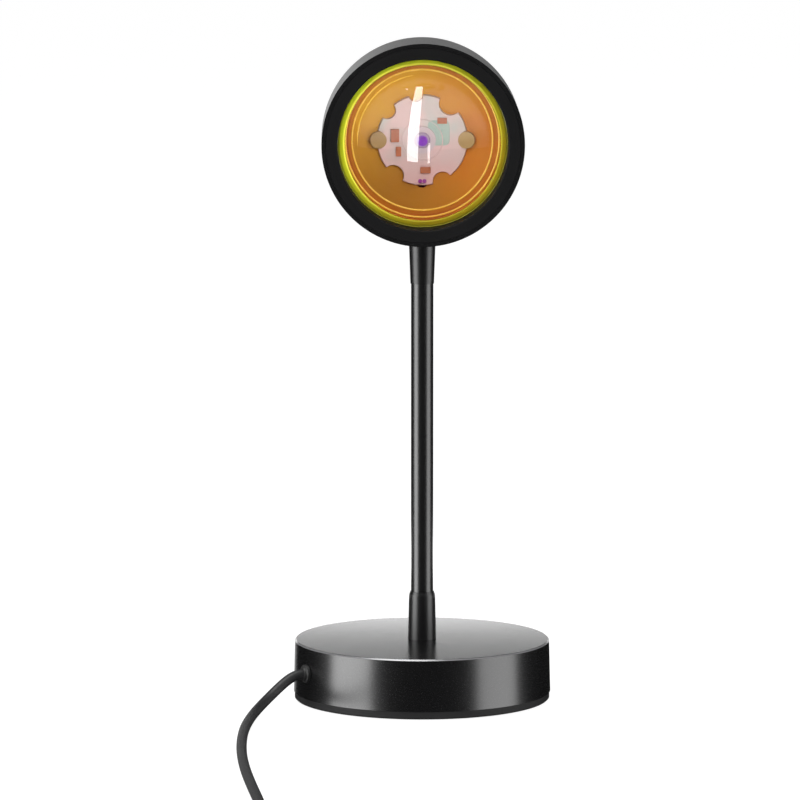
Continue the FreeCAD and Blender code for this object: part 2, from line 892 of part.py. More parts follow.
def upper_end_fitting():
    """The same at the head's end, with its stud up through the drum's wall."""
    stud = sheet.get("stud_diameter") / 2
    plug = sheet.get("sleeve_diameter") / 2
    gap = sheet.get("link_gap")
    pivot = last_joint.number
    shoulder = sleeve_top.number
    seat = head_bottom.number
    last = int(sheet.get("joint_count")) - 1
    past = overcut.number
    outer, inner = square_tube(pivot + gap, shoulder + past)
    plug_solid = Part.makeCylinder(plug, seat - shoulder, FreeCAD.Vector(0, 0, shoulder))
    stud_top = seat + sheet.get("upper_stud")
    stud_length = stud_top - seat + past
    stud_solid = Part.makeCylinder(stud, stud_length, FreeCAD.Vector(0, 0, seat - past))
    bore_length = stud_top - shoulder + past
    bore_start = FreeCAD.Vector(0, 0, shoulder)
    bore = Part.makeCylinder(sheet.get("fitting_bore") / 2, bore_length, bore_start)
    shape = outer.fuse(lower_end(pivot, turns_about_x(last))).fuse(plug_solid).fuse(stud_solid)
    solid_piece("upper_end_fitting", shape.cut(inner).cut(bore))


def neck_sleeve():
    """Smooth soft tube that covers the bending part of the neck."""
    length = sleeve_top - sleeve_bottom
    skin = cylinder("sleeve_skin", dim("sleeve_diameter"), length, 0, 0, sleeve_bottom)
    hollow_length = length + 2 * overcut
    hollow_start = sleeve_bottom - overcut
    hollow = cylinder("sleeve_hollow", dim("sleeve_bore"), hollow_length, 0, 0, hollow_start)
    piece(cut("sleeve_tube", skin, hollow), "neck_sleeve")


def upper_ferrule():
    """Tapered trim sleeve under the head, its top shaped to the drum."""
    blank = cone(
        "upper_ferrule_blank",
        dim("upper_ferrule_bottom"),
        dim("upper_ferrule_top"),
        head_bottom - dim("neck_end") + dim("ferrule_saddle_rise"),
        0,
        0,
        dim("neck_end"),
    )
    bore_length = head_bottom - dim("neck_end")
    bore_start = dim("neck_end") + overcut
    bore = cylinder("upper_ferrule_bore", dim("sleeve_diameter"), bore_length, 0, 0, bore_start)
    relief = cylinder(
        "upper_ferrule_relief",
        dim("sleeve_diameter") + 2 * dim("ferrule_clearance"),
        dim("sleeve_seat") + overcut,
        0,
        0,
        dim("neck_end") - overcut,
    )
    drum = cylinder("upper_ferrule_drum", dim("head_diameter"), dim("head_depth"))
    drum.Placement = FreeCAD.Placement(
        FreeCAD.Vector(0, sheet.get("head_depth") / 2, head_height.number),
        FreeCAD.Rotation(FreeCAD.Vector(1, 0, 0), 90),
    )
    piece(cut("upper_ferrule_cut", blank, bore, relief, drum), "upper_ferrule")


def wire_pair(points, bend):
    """Two thin wires side by side along X, following points in the YZ plane."""
    radius = sheet.get("wire_diameter") / 2
    shapes = []
    for side in (-1, 1):
        offset = FreeCAD.Vector(side * sheet.get("wire_spacing") / 2, 0, 0)
        route = [FreeCAD.Vector(0, y, z) + offset for y, z in points]
        shapes.append(round_tube(rounded_path(route, [bend] * (len(route) - 2)), radius))
    return Part.makeCompound(shapes)


# ---------------------------------------------------------------- tubes and paths


def rounded_path(points, radii):
    """Straight runs through points, joined by tangent arcs of the given radii."""
    edges = []
    start = points[0]
    for corner, following, radius in zip(points[1:-1], points[2:], radii):
        incoming = (corner - start).normalize()
        outgoing = (following - corner).normalize()
        half_turn = incoming.getAngle(outgoing) / 2
        setback = radius * math.tan(half_turn)
        bend_start = corner - incoming * setback
        bend_end = corner + outgoing * setback
        inward = (outgoing - incoming).normalize()
        centre = corner + inward * (radius / math.cos(half_turn))
        middle = centre - inward * radius
        edges.append(Part.LineSegment(start, bend_start).toShape())
        edges.append(Part.Arc(bend_start, middle, bend_end).toShape())
        start = bend_end
    edges.append(Part.LineSegment(start, points[-1]).toShape())
    return Part.Wire(edges)


def largest_radii(points):
    """For each inner point, the largest arc that its two runs allow."""
    radii = []
    for before, corner, after in zip(points, points[1:], points[2:]):
        run_in, run_out = corner - before, after - corner
        half_turn = run_in.getAngle(run_out) / 2
        radii.append(0.45 * min(run_in.Length, run_out.Length) / math.tan(half_turn))
    return radii


def round_tube(path, radius):
    """A round section swept along a path, checked against length times section."""
    first = path.Edges[0]
    start = first.valueAt(first.FirstParameter)
    heading = first.tangentAt(first.FirstParameter)
    section = Part.Wire([Part.makeCircle(radius, start, heading)])
    tube = path.makePipeShell([section], True, True)
    expected = path.Length * math.pi * radius**2
    if abs(tube.Volume / expected - 1) > 0.01:
        raise ValueError("a swept tube has the wrong volume")
    return tube


# ---------------------------------------------------------------- head

# Every head piece is drawn with its Z as the depth behind the head's front face.
# In that frame +Y points down to the floor once the piece is placed.


def place_in_head(feature):
    """Turn a head piece so that its depth runs along +Y, and put it on the neck."""
    front = FreeCAD.Vector(0, -sheet.get("head_forward"), head_height.number)
    looking_back = FreeCAD.Rotation(FreeCAD.Vector(1, 0, 0), -90)
    feature.Placement = FreeCAD.Placement(front, looking_back)
    bind(feature, Placement__Base__y=-dim("head_forward"), Placement__Base__z=head_height)
    return feature


def head_housing():
    """Drum open at both ends, with a ledge for the optics and screw bosses."""
    housing = body("head_housing")
    outer = dim("head_diameter") / 2
    inner = head_inside / 2
    ledge = dim("ledge_bore") / 2
    back = dim("head_depth") - dim("rear_cover_depth")
    ledge_front = ledge_face
    revolve(
        housing,
        [
            (inner, 0),
            (outer, 0),
            (outer, back),
            (inner, back),
            (inner, ledge_front + dim("ledge_depth")),
            (ledge, ledge_front + dim("ledge_depth")),
            (ledge, ledge_front),
            (inner, ledge_front),
        ],
    )
    boss_start = ledge_front + dim("ledge_depth") - overlap
    boss = sketch_on(housing, "XY_Plane", "boss_outline", boss_start)
    ring(boss, 0, -dim("head_boss_circle") / 2, dim("head_boss_diameter"))
    boss_pad = pad(housing, boss, back - boss_start, "boss")
    pilot = sketch_on(housing, "XY_Plane", "pilot_outline", back)
    ring(pilot, 0, -dim("head_boss_circle") / 2, dim("screw_shank"))
    pilot_hole = pocket(housing, pilot, dim("head_pilot_depth"), "pilot")
    around(housing, [boss_pad, pilot_hole], 3, "bosses")
    pad_face = head_inside / 2 - dim("nut_pad_height")
    nut_pad = sketch_on(housing, "XZ_Plane", "nut_pad_outline", -pad_face)
    ring(nut_pad, 0, dim("head_forward"), dim("nut_pad_diameter"))
    pad(housing, nut_pad, dim("nut_pad_height") + overlap, "nut_pad", backwards=True)
    stud = sketch_on(housing, "XZ_Plane", "stud_hole_outline", -(pad_face - overcut))
    ring(stud, 0, dim("head_forward"), dim("stud_hole"))
    stud_way = dim("nut_pad_height") + dim("housing_wall") + 2 * overcut
    pocket(housing, stud, stud_way, "stud_hole")
    place_in_head(housing)


def front_bezel():
    """Front ring that screws into the drum and holds the lens from the front."""
    bezel = body("front_bezel")
    opening = dim("lens_opening") / 2
    outer = dim("bezel_diameter") / 2
    skirt = dim("bezel_skirt_bore") / 2
    barrel = dim("bezel_barrel") / 2
    edge = dim("bezel_edge")
    revolve(
        bezel,
        [
            (opening + edge, 0),
            (outer, 0),
            (outer, dim("bezel_skirt")),
            (skirt, dim("bezel_skirt")),
            (skirt, dim("bezel_face")),
            (barrel, dim("bezel_face")),
            (barrel, dim("barrel_depth")),
            (opening, dim("barrel_depth")),
            (opening, edge),
        ],
    )
    place_in_head(bezel)


def lens_gasket():
    """Flat soft ring between the bezel's barrel and the lens."""
    start = dim("barrel_depth")
    disc = cylinder("gasket_disc", dim("gasket_diameter"), dim("gasket_thickness"), 0, 0, start)
    hole_length = dim("gasket_thickness") + 2 * overcut
    hole = cylinder("gasket_hole", dim("gasket_bore"), hole_length, 0, 0, start - overcut)
    piece(place_in_head(cut("gasket_ring", disc, hole)), "lens_gasket")


def lens():
    """Thick lens, flat behind and domed in front, with a flange at its foot."""
    foot = dim("barrel_depth") + dim("gasket_thickness")
    base_radius_of_dome = dim("lens_dome") / 2
    sag = dim("lens_sag")
    ball_radius = (base_radius_of_dome * base_radius_of_dome + sag * sag) / (2 * sag)
    ball = doc.addObject("Part::Sphere", "lens_ball")
    bind(ball, Radius=ball_radius)
    at(set_aside(ball), 0, 0, foot - sag + ball_radius)
    front = foot - sag - overcut
    front_part = cylinder("lens_front", dim("lens_dome"), sag + overcut, 0, 0, front)
    dome = common("lens_dome_solid", ball, front_part)
    flange = cylinder("lens_flange_disc", dim("lens_diameter"), dim("lens_flange"), 0, 0, foot)
    piece(place_in_head(fuse("lens_solid", dome, flange)), "lens")


def sink_screw_holes(owner, start, thickness):
    """Three holes that the heat sink and the reflector's end ring share."""
    hole = sketch_on(owner, "XY_Plane", "sink_hole_outline", start - overcut)
    ring(hole, 0, -sink_screw_circle / 2, dim("small_screw_shank"))
    first_hole = pocket(owner, hole, thickness + 2 * overcut, "sink_hole", forwards=True)
    around(owner, [first_hole], 3, "sink_holes")


def inner_reflector():
    """Cup behind the lens; its flange is clamped between the lens and the ledge."""
    cup = body("inner_reflector")
    front = reflector_front
    flange_back = front + dim("reflector_flange")
    end = front + dim("reflector_depth")
    wall = dim("reflector_wall")
    end_wall = dim("reflector_end_wall")
    revolve(
        cup,
        [
            (dim("reflector_mouth") / 2, front),
            (dim("reflector_diameter") / 2, front),
            (dim("reflector_diameter") / 2, flange_back),
            (dim("reflector_mouth") / 2 + wall, flange_back),
            (dim("reflector_throat") / 2 + wall, end),
            (dim("reflector_opening") / 2, end),
            (dim("reflector_opening") / 2, end - end_wall),
            (dim("reflector_throat") / 2, end - end_wall),
        ],
    )
    sink_screw_holes(cup, end - end_wall, end_wall)
    place_in_head(cup)


def heat_sink():
    """Round plate with straight cooling fins behind it, carrying the board."""
    sink = body("heat_sink")
    plate_back = sink_front + dim("sink_plate")
    radius = dim("sink_diameter") / 2
    revolve(sink, [(0, sink_front), (radius, sink_front), (radius, plate_back), (0, plate_back)])
    fin = sketch_on(sink, "XY_Plane", "fin_outline", plate_back - overlap)
    half_span = dim("fin_pitch") * (dim("fin_count") - 1) / 2
    half_fin = dim("fin_thickness") / 2
    half_length = dim("fin_length") / 2
    outline(
        fin,
        [
            (-half_span - half_fin, -half_length),
            (-half_span + half_fin, -half_length),
            (-half_span + half_fin, half_length),
            (-half_span - half_fin, half_length),
        ],
    )
    first_fin = pad(sink, fin, dim("fin_height") + overlap, "fin")
    fins = sink.newObject("PartDesign::LinearPattern", "fins")
    fins.Originals = [first_fin]
    fins.Direction = (plane_of(sink, "X_Axis"), [""])
    bind(fins, Length=2 * half_span, Occurrences=dim("fin_count"))
    sink.Tip = fins
    right_through = dim("sink_plate") + dim("fin_height") + 2 * overcut
    way = sketch_on(sink, "XY_Plane", "wire_hole_outline", sink_front - overcut)
    ring(way, 0, dim("wire_exit"), dim("wire_hole"))
    pocket(sink, way, right_through, "wire_hole", forwards=True)
    board_holes = sketch_on(sink, "XY_Plane", "board_hole_outline", sink_front - overcut)
    for side in (-1, 1):
        ring(board_holes, side * dim("board_diameter") / 2, 0, dim("small_screw_shank"))
    pocket(sink, board_holes, right_through, "board_holes", forwards=True)
    sink_screw_holes(sink, sink_front, dim("sink_plate"))
    place_in_head(sink)


def heat_sink_screws():
    """Three screws from behind that hold the plate on the reflector's end ring."""
    screws = []
    reach = sink_screw_circle / 2
    head = sink_front + dim("sink_plate") + dim("small_screw_head_height")
    for i in range(3):
        made = screw(
            "sink_screw_%d" % i,
            dim("small_screw_head"),
            dim("small_screw_shank"),
            dim("small_screw_head_height"),
            dim("sink_screw_length"),
            countersunk=False,
        )
        angle = math.radians(-90 + 120 * i)
        across, along = reach * math.cos(angle), reach * math.sin(angle)
        spot = FreeCAD.Vector(across.number, along.number, head.number)
        forwards = FreeCAD.Rotation(FreeCAD.Vector(1, 0, 0), 180)
        made.Placement = FreeCAD.Placement(spot, forwards)
        screws.append(made)
    piece(place_in_head(group("sink_screws", *screws)), "heat_sink_screws")


def led_board():
    """Round metal-core board with half-round notches all round its edge."""
    board = body("led_board")
    start = sink_front - dim("board_thickness")
    disc = sketch_on(board, "XY_Plane", "disc_outline", start)
    ring(disc, 0, 0, dim("board_diameter"))
    pad(board, disc, dim("board_thickness"), "disc")
    notch = sketch_on(board, "XY_Plane", "notch_outline", start - overcut)
    ring(notch, 0, dim("board_diameter") / 2, dim("notch_diameter"))
    depth = dim("board_thickness") + 2 * overcut
    first_notch = pocket(board, notch, depth, "notch", forwards=True)
    around(board, [first_notch], dim("board_notches"), "notches")
    place_in_head(board)


def board_screws():
    """Two screws that hold the board through opposite notches."""
    screws = []
    head = sink_front - dim("board_thickness") - dim("small_screw_head_height")
    for side in (-1, 1):
        made = screw(
            "board_screw_%d" % side,
            dim("board_screw_head"),
            dim("small_screw_shank"),
            dim("small_screw_head_height"),
            dim("board_screw_length"),
            countersunk=False,
        )
        at(made, side * dim("board_diameter") / 2, 0, head)
        screws.append(made)
    piece(place_in_head(group("board_screw_pair", *screws)), "board_screws")


def led_emitter():
    """The light source: a round carrier with a clear half-ball over the chips."""
    front = sink_front - dim("board_thickness") - dim("emitter_base")
    carrier = cylinder("emitter_carrier", dim("emitter_diameter"), dim("emitter_base"), 0, 0, front)
    ball = doc.addObject("Part::Sphere", "emitter_ball")
    bind(ball, Radius=dim("emitter_dome") / 2)
    at(set_aside(ball), 0, 0, front)
    reach = dim("emitter_dome")
    front_half = cylinder("emitter_front", 2 * reach, reach, 0, 0, front - reach)
    dome = common("emitter_dome_solid", ball, front_half)
    piece(place_in_head(fuse("emitter_solid", carrier, dome)), "led_emitter")


def led_components():
    """Driver chip, resistor, diode and connector on the board."""
    board_front = sink_front - dim("board_thickness")
    # name, width, depth, height, place across, place along
    parts_on_board = [
        ("driver_chip", 2.6, 4, 1.2, -8.6, -1.4),
        ("sense_resistor", 1.6, 3, 0.7, -7.4, 3.6),
        ("bridge_diode", 3.2, 2, 1, 1, 9.4),
        ("solder_pad_block", 3, 1.8, 0.5, 6.2, -6),
    ]
    blocks = [
        block(name, width, depth, height, across, along, board_front - height)
        for name, width, depth, height, across, along in parts_on_board
    ]
    piece(place_in_head(group("board_parts", *blocks)), "led_components")


def upper_neck_fixing():
    """Washer and nut inside the drum that hold the head on the neck's stud."""
    thickness = dim("washer_thickness")
    seat = head_bottom + dim("housing_wall") + dim("nut_pad_height")
    disc = cylinder("upper_washer_disc", dim("washer_diameter"), thickness, 0, 0, seat)
    hole_length = thickness + 2 * overcut
    hole = cylinder("upper_washer_hole", dim("stud_hole"), hole_length, 0, 0, seat - overcut)
    piece(cut("upper_washer_cut", disc, hole), "upper_washer")
    stud_above_washer = dim("upper_stud") - (seat - head_bottom) - thickness
    nut_height = stud_above_washer - dim("stud_beyond_nut")
    nut = hexagon("upper_nut_hex", dim("nut_flats"), nut_height, seat + thickness)
    bore_length = thickness + nut_height + overcut
    thread = cylinder("upper_nut_bore", dim("stud_diameter"), bore_length, 0, 0, seat)
    piece(cut("upper_nut_cut", nut, thread), "upper_lock_nut")


def head_rear_cover():
    """Flat back of the drum with a ring of cooling slots and three screws."""
    cover = body("head_rear_cover")
    start = dim("head_depth") - dim("rear_cover_depth")
    radius = dim("head_diameter") / 2
    chamfer = dim("rear_chamfer")
    end = dim("head_depth")
    revolve(
        cover,
        [(0, start), (radius, start), (radius, end - chamfer), (radius - chamfer, end), (0, end)],
    )
    right_through = dim("rear_cover_depth") + 2 * overcut
    slot = sketch_on(cover, "XY_Plane", "slot_outline", start - overcut)
    half = dim("vent_width") / 2
    inner, outer = dim("vent_inner"), dim("vent_outer")
    outline(slot, [(-half, inner), (half, inner), (half, outer), (-half, outer)])
    vent = pocket(cover, slot, right_through, "vent", forwards=True)
    around(cover, [vent], dim("vent_count"), "vents")
    hole = sketch_on(cover, "XY_Plane", "screw_hole_outline", start - overcut)
    ring(hole, 0, -dim("head_boss_circle") / 2, dim("screw_shank") + dim("screw_clearance"))
    screw_hole = pocket(cover, hole, right_through, "screw_hole", forwards=True)
    around(cover, [screw_hole], 3, "screw_holes")
    sink = countersink(cover, 0, -dim("head_boss_circle") / 2, end, backwards=True)
    around(cover, [sink], 3, "countersinks")
    place_in_head(cover)


def rear_cover_screws():
    """Three countersunk screws through the rear cover."""
    screws = []
    reach = dim("head_boss_circle") / 2
    for i in range(3):
        made = screw(
            "rear_screw_%d" % i,
            dim("screw_head"),
            dim("screw_shank"),
            dim("screw_head_height"),
            dim("screw_length"),
            countersunk=True,
        )
        angle = math.radians(-90 + 120 * i)
        across, along = reach * math.cos(angle), reach * math.sin(angle)
        spot = FreeCAD.Vector(across.number, along.number, sheet.get("head_depth"))
        forwards = FreeCAD.Rotation(FreeCAD.Vector(1, 0, 0), 180)
        made.Placement = FreeCAD.Placement(spot, forwards)
        screws.append(made)
    piece(place_in_head(group("rear_screws", *screws)), "rear_cover_screws")


# ---------------------------------------------------------------- wires


def wires():
    """The two conductors, from the cord's jacket up through the neck to the board."""
    jacket = cylinder("jacket", dim("cord_diameter"), bush_end - dim("jacket_end"))
    jacket.Placement = FreeCAD.Placement(
        FreeCAD.Vector(0, -sheet.get("jacket_end"), sheet.get("cord_height")),
        FreeCAD.Rotation(FreeCAD.Vector(1, 0, 0), 90),
    )
    piece(turn_with_cord(jacket), "cord_inner_end")
    height = sheet.get("cord_height")
    bend = sheet.get("wire_bend")
    low_route = [(-sheet.get("jacket_end"), height), (0, height), (0, NECK_WIRE_START)]
    low = solid_piece("base_wires", wire_pair(low_route, bend))
    turn_with_cord(low)
    solid_piece("neck_wires", wire_pair([(0, NECK_WIRE_START), (0, NECK_WIRE_END)], bend))
    cover_front = dim("head_depth") - dim("rear_cover_depth") - dim("head_forward")
    rear = (cover_front - dim("wire_to_rear_cover")).number
    exit_height = (head_height - dim("wire_exit")).number
    board_front = sink_front - dim("board_thickness") - dim("head_forward")
    wire_end = (board_front - dim("wire_end_to_board")).number
    lane = (head_bottom + dim("wire_lane_height")).number
    high_route = [
        (0, NECK_WIRE_END),
        (0, lane),
        (rear, lane),
        (rear, exit_height),
        (wire_end, exit_height),
    ]
    solid_piece("head_wires", wire_pair(high_route, sheet.get("wire_bend_in_head")))


# ---------------------------------------------------------------- cord

# The cord leaves the bush, drops to the floor, runs forwards past the lamp's left
# side to its switch, and is put away in a round coil with the plug beside it.

CORD_RADIUS = sheet.get("cord_diameter") / 2
FLOOR = CORD_RADIUS + 0.05  # the cord's centre when it lies on the floor
LEAST_TURN_GAP = 0.4
LEAD_ROUTE = [
    (-48.13, -23.48, 14.0),
    (-50.5, -24.64, 14.0),
    (-55.0, -26.9, 11.3),
    (-60.4, -30.4, 6.6),
    (-65.0, -38.6, 3.3),
    (-68.2, -54.0, FLOOR),
    (-70.3, -78.0, FLOOR),
    (-70.9, -104.0, FLOOR),
    (-70.4, -131.0, FLOOR),
    (-68.7, -160.0, FLOOR),
    (-66.0, -190.0, FLOOR),
    (-63.0, -219.0, FLOOR),
    (-61.0, -242.0, 2.3),
    (-60.1, -257.0, 4.2),
    (-60.0, -267.0, 5.5),
    (-60.0, -276.0, 5.5),
]
TAIL_ROUTE = [
    (-60.0, -330.0, 5.5),
    (-60.0, -338.5, 5.5),
    (-56.2, -349.8, 3.4),
    (-47.6, -358.4, FLOOR),
    (-35.6, -362.4, FLOOR),
    (-23.0, -360.6, FLOOR),
    (-9.5, -350.4, FLOOR),
    (9.1, -339.62, FLOOR),
]
END_ROUTE = [
    (7.78, -337.32, 6.65),
    (19.9, -330.32, 6.65),
    (29.42, -324.82, 4.0),
    (38.08, -319.82, 4.0),
]
SWITCH_CENTRE = (-60.0, -303.0, 0.0)
COIL_CENTRE = (-8.0, -310.0)
COIL_START_ANGLE = -60
PLUG_HEADING = 30
TURNS_IN = 7  # half turns on the floor
TURNS_OUT = 6  # half turns on top, after the one that climbs


def as_vectors(route):
    return [FreeCAD.Vector(*point) for point in route]


def cord_stretch(label, route):
    """A cord stretch whose bends are as large as its runs allow."""
    points = as_vectors(route)
    radii = largest_radii(points)
    path = rounded_path(points, radii)
    print(label, "length", round(path.Length, 1), "radii", [round(r, 1) for r in radii])
    solid_piece(label, round_tube(path, CORD_RADIUS))
    return path.Length


def biarc(start, heading, end, final_heading):
    """Two tangent arcs between two points with given headings there."""
    gap = end - start
    both = heading + final_heading
    bend = both.dot(both) - 4
    reach = gap.dot(both)
    if abs(bend) < 1e-9:
        reach = gap.dot(gap) / (2 * reach)
    else:
        reach = (reach - math.sqrt(reach**2 - bend * gap.dot(gap))) / bend
    first_corner = start + heading * reach
    second_corner = end - final_heading * reach
    meeting = (first_corner + second_corner) * 0.5
    return [
        arc_through_corner(start, first_corner, meeting),
        arc_through_corner(meeting, second_corner, end),
    ]


def arc_through_corner(start, corner, end):
    """The arc that touches both legs of an even-legged corner at their ends."""
    chord_middle = (start + end) * 0.5
    bisector = (corner - chord_middle).normalize()
    half_chord = (end - start).Length / 2
    rise = (corner - chord_middle).Length
    leg = math.hypot(half_chord, rise)
    bulge = half_chord * (leg - half_chord) / rise
    return Part.Arc(start, chord_middle + bisector * bulge, end).toShape()


def coil_nodes():
    """Where the coil stands after each half turn: place and heading.

    It spirals in along the floor at a steady rate, climbs one layer in the half
    turn at which it reverses, and spirals out again on top.
    """
    step = sheet.get("coil_pitch") / 2
    radii = [sheet.get("coil_outer_radius") - step * i for i in range(TURNS_IN + 1)]
    radii += [radii[-1] + step * i for i in range(TURNS_OUT + 1)]
    nodes = []
    for half_turn, radius in enumerate(radii):
        angle = math.radians(COIL_START_ANGLE + 180 * half_turn)
        layer = sheet.get("coil_layer") if half_turn > TURNS_IN else 0
        place = FreeCAD.Vector(
            COIL_CENTRE[0] + radius * math.cos(angle),
            COIL_CENTRE[1] + radius * math.sin(angle),
            FLOOR + layer,
        )
        nodes.append((place, FreeCAD.Vector(-math.sin(angle), math.cos(angle), 0)))
    return nodes


def least_gap(edges, diameter, spacing=1.0):
    """The least clearance between parts of a tube that are not neighbours."""
    points = []
    for edge in edges:
        count = max(2, int(edge.Length / spacing))
        points += edge.discretize(Number=count + 1)[:-1]
    skip = int(4 * diameter / spacing)
    nearest = min(
        points[i].distanceToPoint(points[j])
        for i in range(len(points))
        for j in range(i + skip, len(points))
    )
    return nearest - diameter


def cord_coil():
    """The put-away length as one unbroken tube in two layers of spiral turns."""
    nodes = coil_nodes()
    edges = []
    for (start, heading), (end, final_heading) in zip(nodes, nodes[1:]):
        edges += biarc(start, heading, end, final_heading)
    path = Part.Wire(edges)
    gap = least_gap(edges, 2 * CORD_RADIUS)
    print("cord_coil length", round(path.Length, 1), "least gap", round(gap, 2))
    if gap < LEAST_TURN_GAP:
        raise ValueError("the coil's turns are too close")
    start, heading = nodes[0]
    section = Part.Wire([Part.makeCircle(CORD_RADIUS, start, heading)])
    solid_piece("cord_coil", path.makePipeShell([section], True, False))
    return path.Length


def place_switch(feature):
    """Lay a switch piece, drawn along X, in line with the cord."""
    along_cord = FreeCAD.Rotation(FreeCAD.Vector(0, 0, 1), -90)
    feature.Placement = FreeCAD.Placement(FreeCAD.Vector(*SWITCH_CENTRE), along_cord)
    return feature


def capsule_outline(sketch, length, width):
    """Two straight sides joined by half circles, centred, drawn along X."""
    length, width = as_size(length), as_size(width)
    half = ((length - width) / 2).number
    radius = width.number / 2
    up = FreeCAD.Vector(0, 0, 1)
    right = Part.Circle(FreeCAD.Vector(half, 0, 0), up, radius)
    left = Part.Circle(FreeCAD.Vector(-half, 0, 0), up, radius)
    quarter = math.pi / 2
    corners = [FreeCAD.Vector(x, y, 0) for x, y in ((-half, -radius), (half, -radius))]
    far_corners = [FreeCAD.Vector(x, y, 0) for x, y in ((half, radius), (-half, radius))]
    bottom = sketch.addGeometry(Part.LineSegment(*corners), False)
    east = sketch.addGeometry(Part.ArcOfCircle(right, -quarter, quarter), False)
    top = sketch.addGeometry(Part.LineSegment(*far_corners), False)
    west = sketch.addGeometry(Part.ArcOfCircle(left, quarter, 3 * quarter), False)
    for first, second in ((bottom, east), (east, top), (top, west), (west, bottom)):
        sketch.addConstraint(Sketcher.Constraint("Tangent", first, 2, second, 1))
    sketch.addConstraint(Sketcher.Constraint("Horizontal", bottom))
    tie_point(sketch, east, 3, (length - width) / 2, as_size(0))
    tie_point(sketch, west, 3, -(length - width) / 2, as_size(0))
    held = sketch.addConstraint(Sketcher.Constraint("Diameter", east, width.number))
    sketch.setExpression("Constraints[%d]" % held, width.text)


def switch_half(label, bottom, height, upper):
    """One half of the switch's capsule-shaped case, hollow, with cord collars."""
    half = body(label)
    collar = dim("relief_diameter")
    length = dim("switch_length") - 2 * dim("switch_collar")
    wall = dim("switch_wall")
    skin = sketch_on(half, "XY_Plane", "skin_outline", bottom)
    capsule_outline(skin, length, dim("switch_width"))
    pad(half, skin, height, "skin")
    split = dim("switch_height") / 2
    for side, name in ((-1, "entry"), (1, "exit")):
        collar_sketch = sketch_on(half, "YZ_Plane", name + "_outline")
        half_collar(collar_sketch, split, collar, upper)
        made = pad(half, collar_sketch, dim("switch_length") / 2, name, backwards=side < 0)
        made.Refine = True
    hollow_bottom = bottom if upper else bottom + wall
    hollow = sketch_on(half, "XY_Plane", "hollow_outline", hollow_bottom)
    capsule_outline(hollow, length - 2 * wall, dim("switch_width") - 2 * wall)
    pocket(half, hollow, height - wall, "hollow", forwards=True)
    if upper:
        hole = sketch_on(half, "XY_Plane", "button_hole_outline", bottom)
        ring(hole, 0, 0, dim("button_diameter") + 2 * dim("button_clearance"))
        pocket(half, hole, height + overcut, "button_hole", forwards=True)
    return half


def half_collar(sketch, split, diameter, upper):
    """Half a disc above or below the split line between the case's halves."""
    side = 1 if upper else -1
    radius = (as_size(diameter) / 2).number
    level = split.number
    centre = FreeCAD.Vector(0, level, 0)
    circle = Part.Circle(centre, FreeCAD.Vector(0, 0, 1), radius)
    start = 0 if upper else math.pi
    arc = sketch.addGeometry(Part.ArcOfCircle(circle, start, start + math.pi), False)
    ends = [FreeCAD.Vector(-side * radius, level, 0), FreeCAD.Vector(side * radius, level, 0)]
    line = sketch.addGeometry(Part.LineSegment(*ends), False)
    sketch.addConstraint(Sketcher.Constraint("Coincident", arc, 2, line, 1))
    sketch.addConstraint(Sketcher.Constraint("Coincident", line, 2, arc, 1))
    sketch.addConstraint(Sketcher.Constraint("Horizontal", line))
    tie_point(sketch, arc, 3, as_size(0), split)
    held = sketch.addConstraint(Sketcher.Constraint("Diameter", arc, 2 * radius))
    sketch.setExpression("Constraints[%d]" % held, as_size(diameter).text)


def cord_switch():
    """In-line switch: two case halves, the switch block inside and its button."""
    split = dim("switch_height") / 2
    lower = switch_half("switch_lower_case", as_size(0), split, upper=False)
    upper = switch_half("switch_upper_case", split, split, upper=True)
    place_switch(lower)
    place_switch(upper)
    module = block(
        "switch_block",
        dim("module_length"),
        dim("module_width"),
        dim("module_height"),
        0,
        0,
        dim("switch_wall"),
    )
    piece(place_switch(group("switch_inner", module)), "switch_module")
    top = dim("switch_height") + dim("button_rise")
    module_top = dim("switch_wall") + dim("module_height")
    flange_bottom = module_top + dim("button_rise") + dim("button_gap")
    stem = cylinder("button_stem", dim("button_diameter"), top - flange_bottom, 0, 0, flange_bottom)
    flange = cylinder(
        "button_foot", dim("button_flange"), dim("button_flange_height"), 0, 0, flange_bottom
    )
    piece(place_switch(fuse("button_solid", stem, flange)), "switch_button")


def place_plug(feature):
    """Lay a plug piece, drawn along X from the cord's end, at its place."""
    heading = FreeCAD.Rotation(FreeCAD.Vector(0, 0, 1), PLUG_HEADING)
    feature.Placement = FreeCAD.Placement(FreeCAD.Vector(*END_ROUTE[-1]), heading)
    return feature


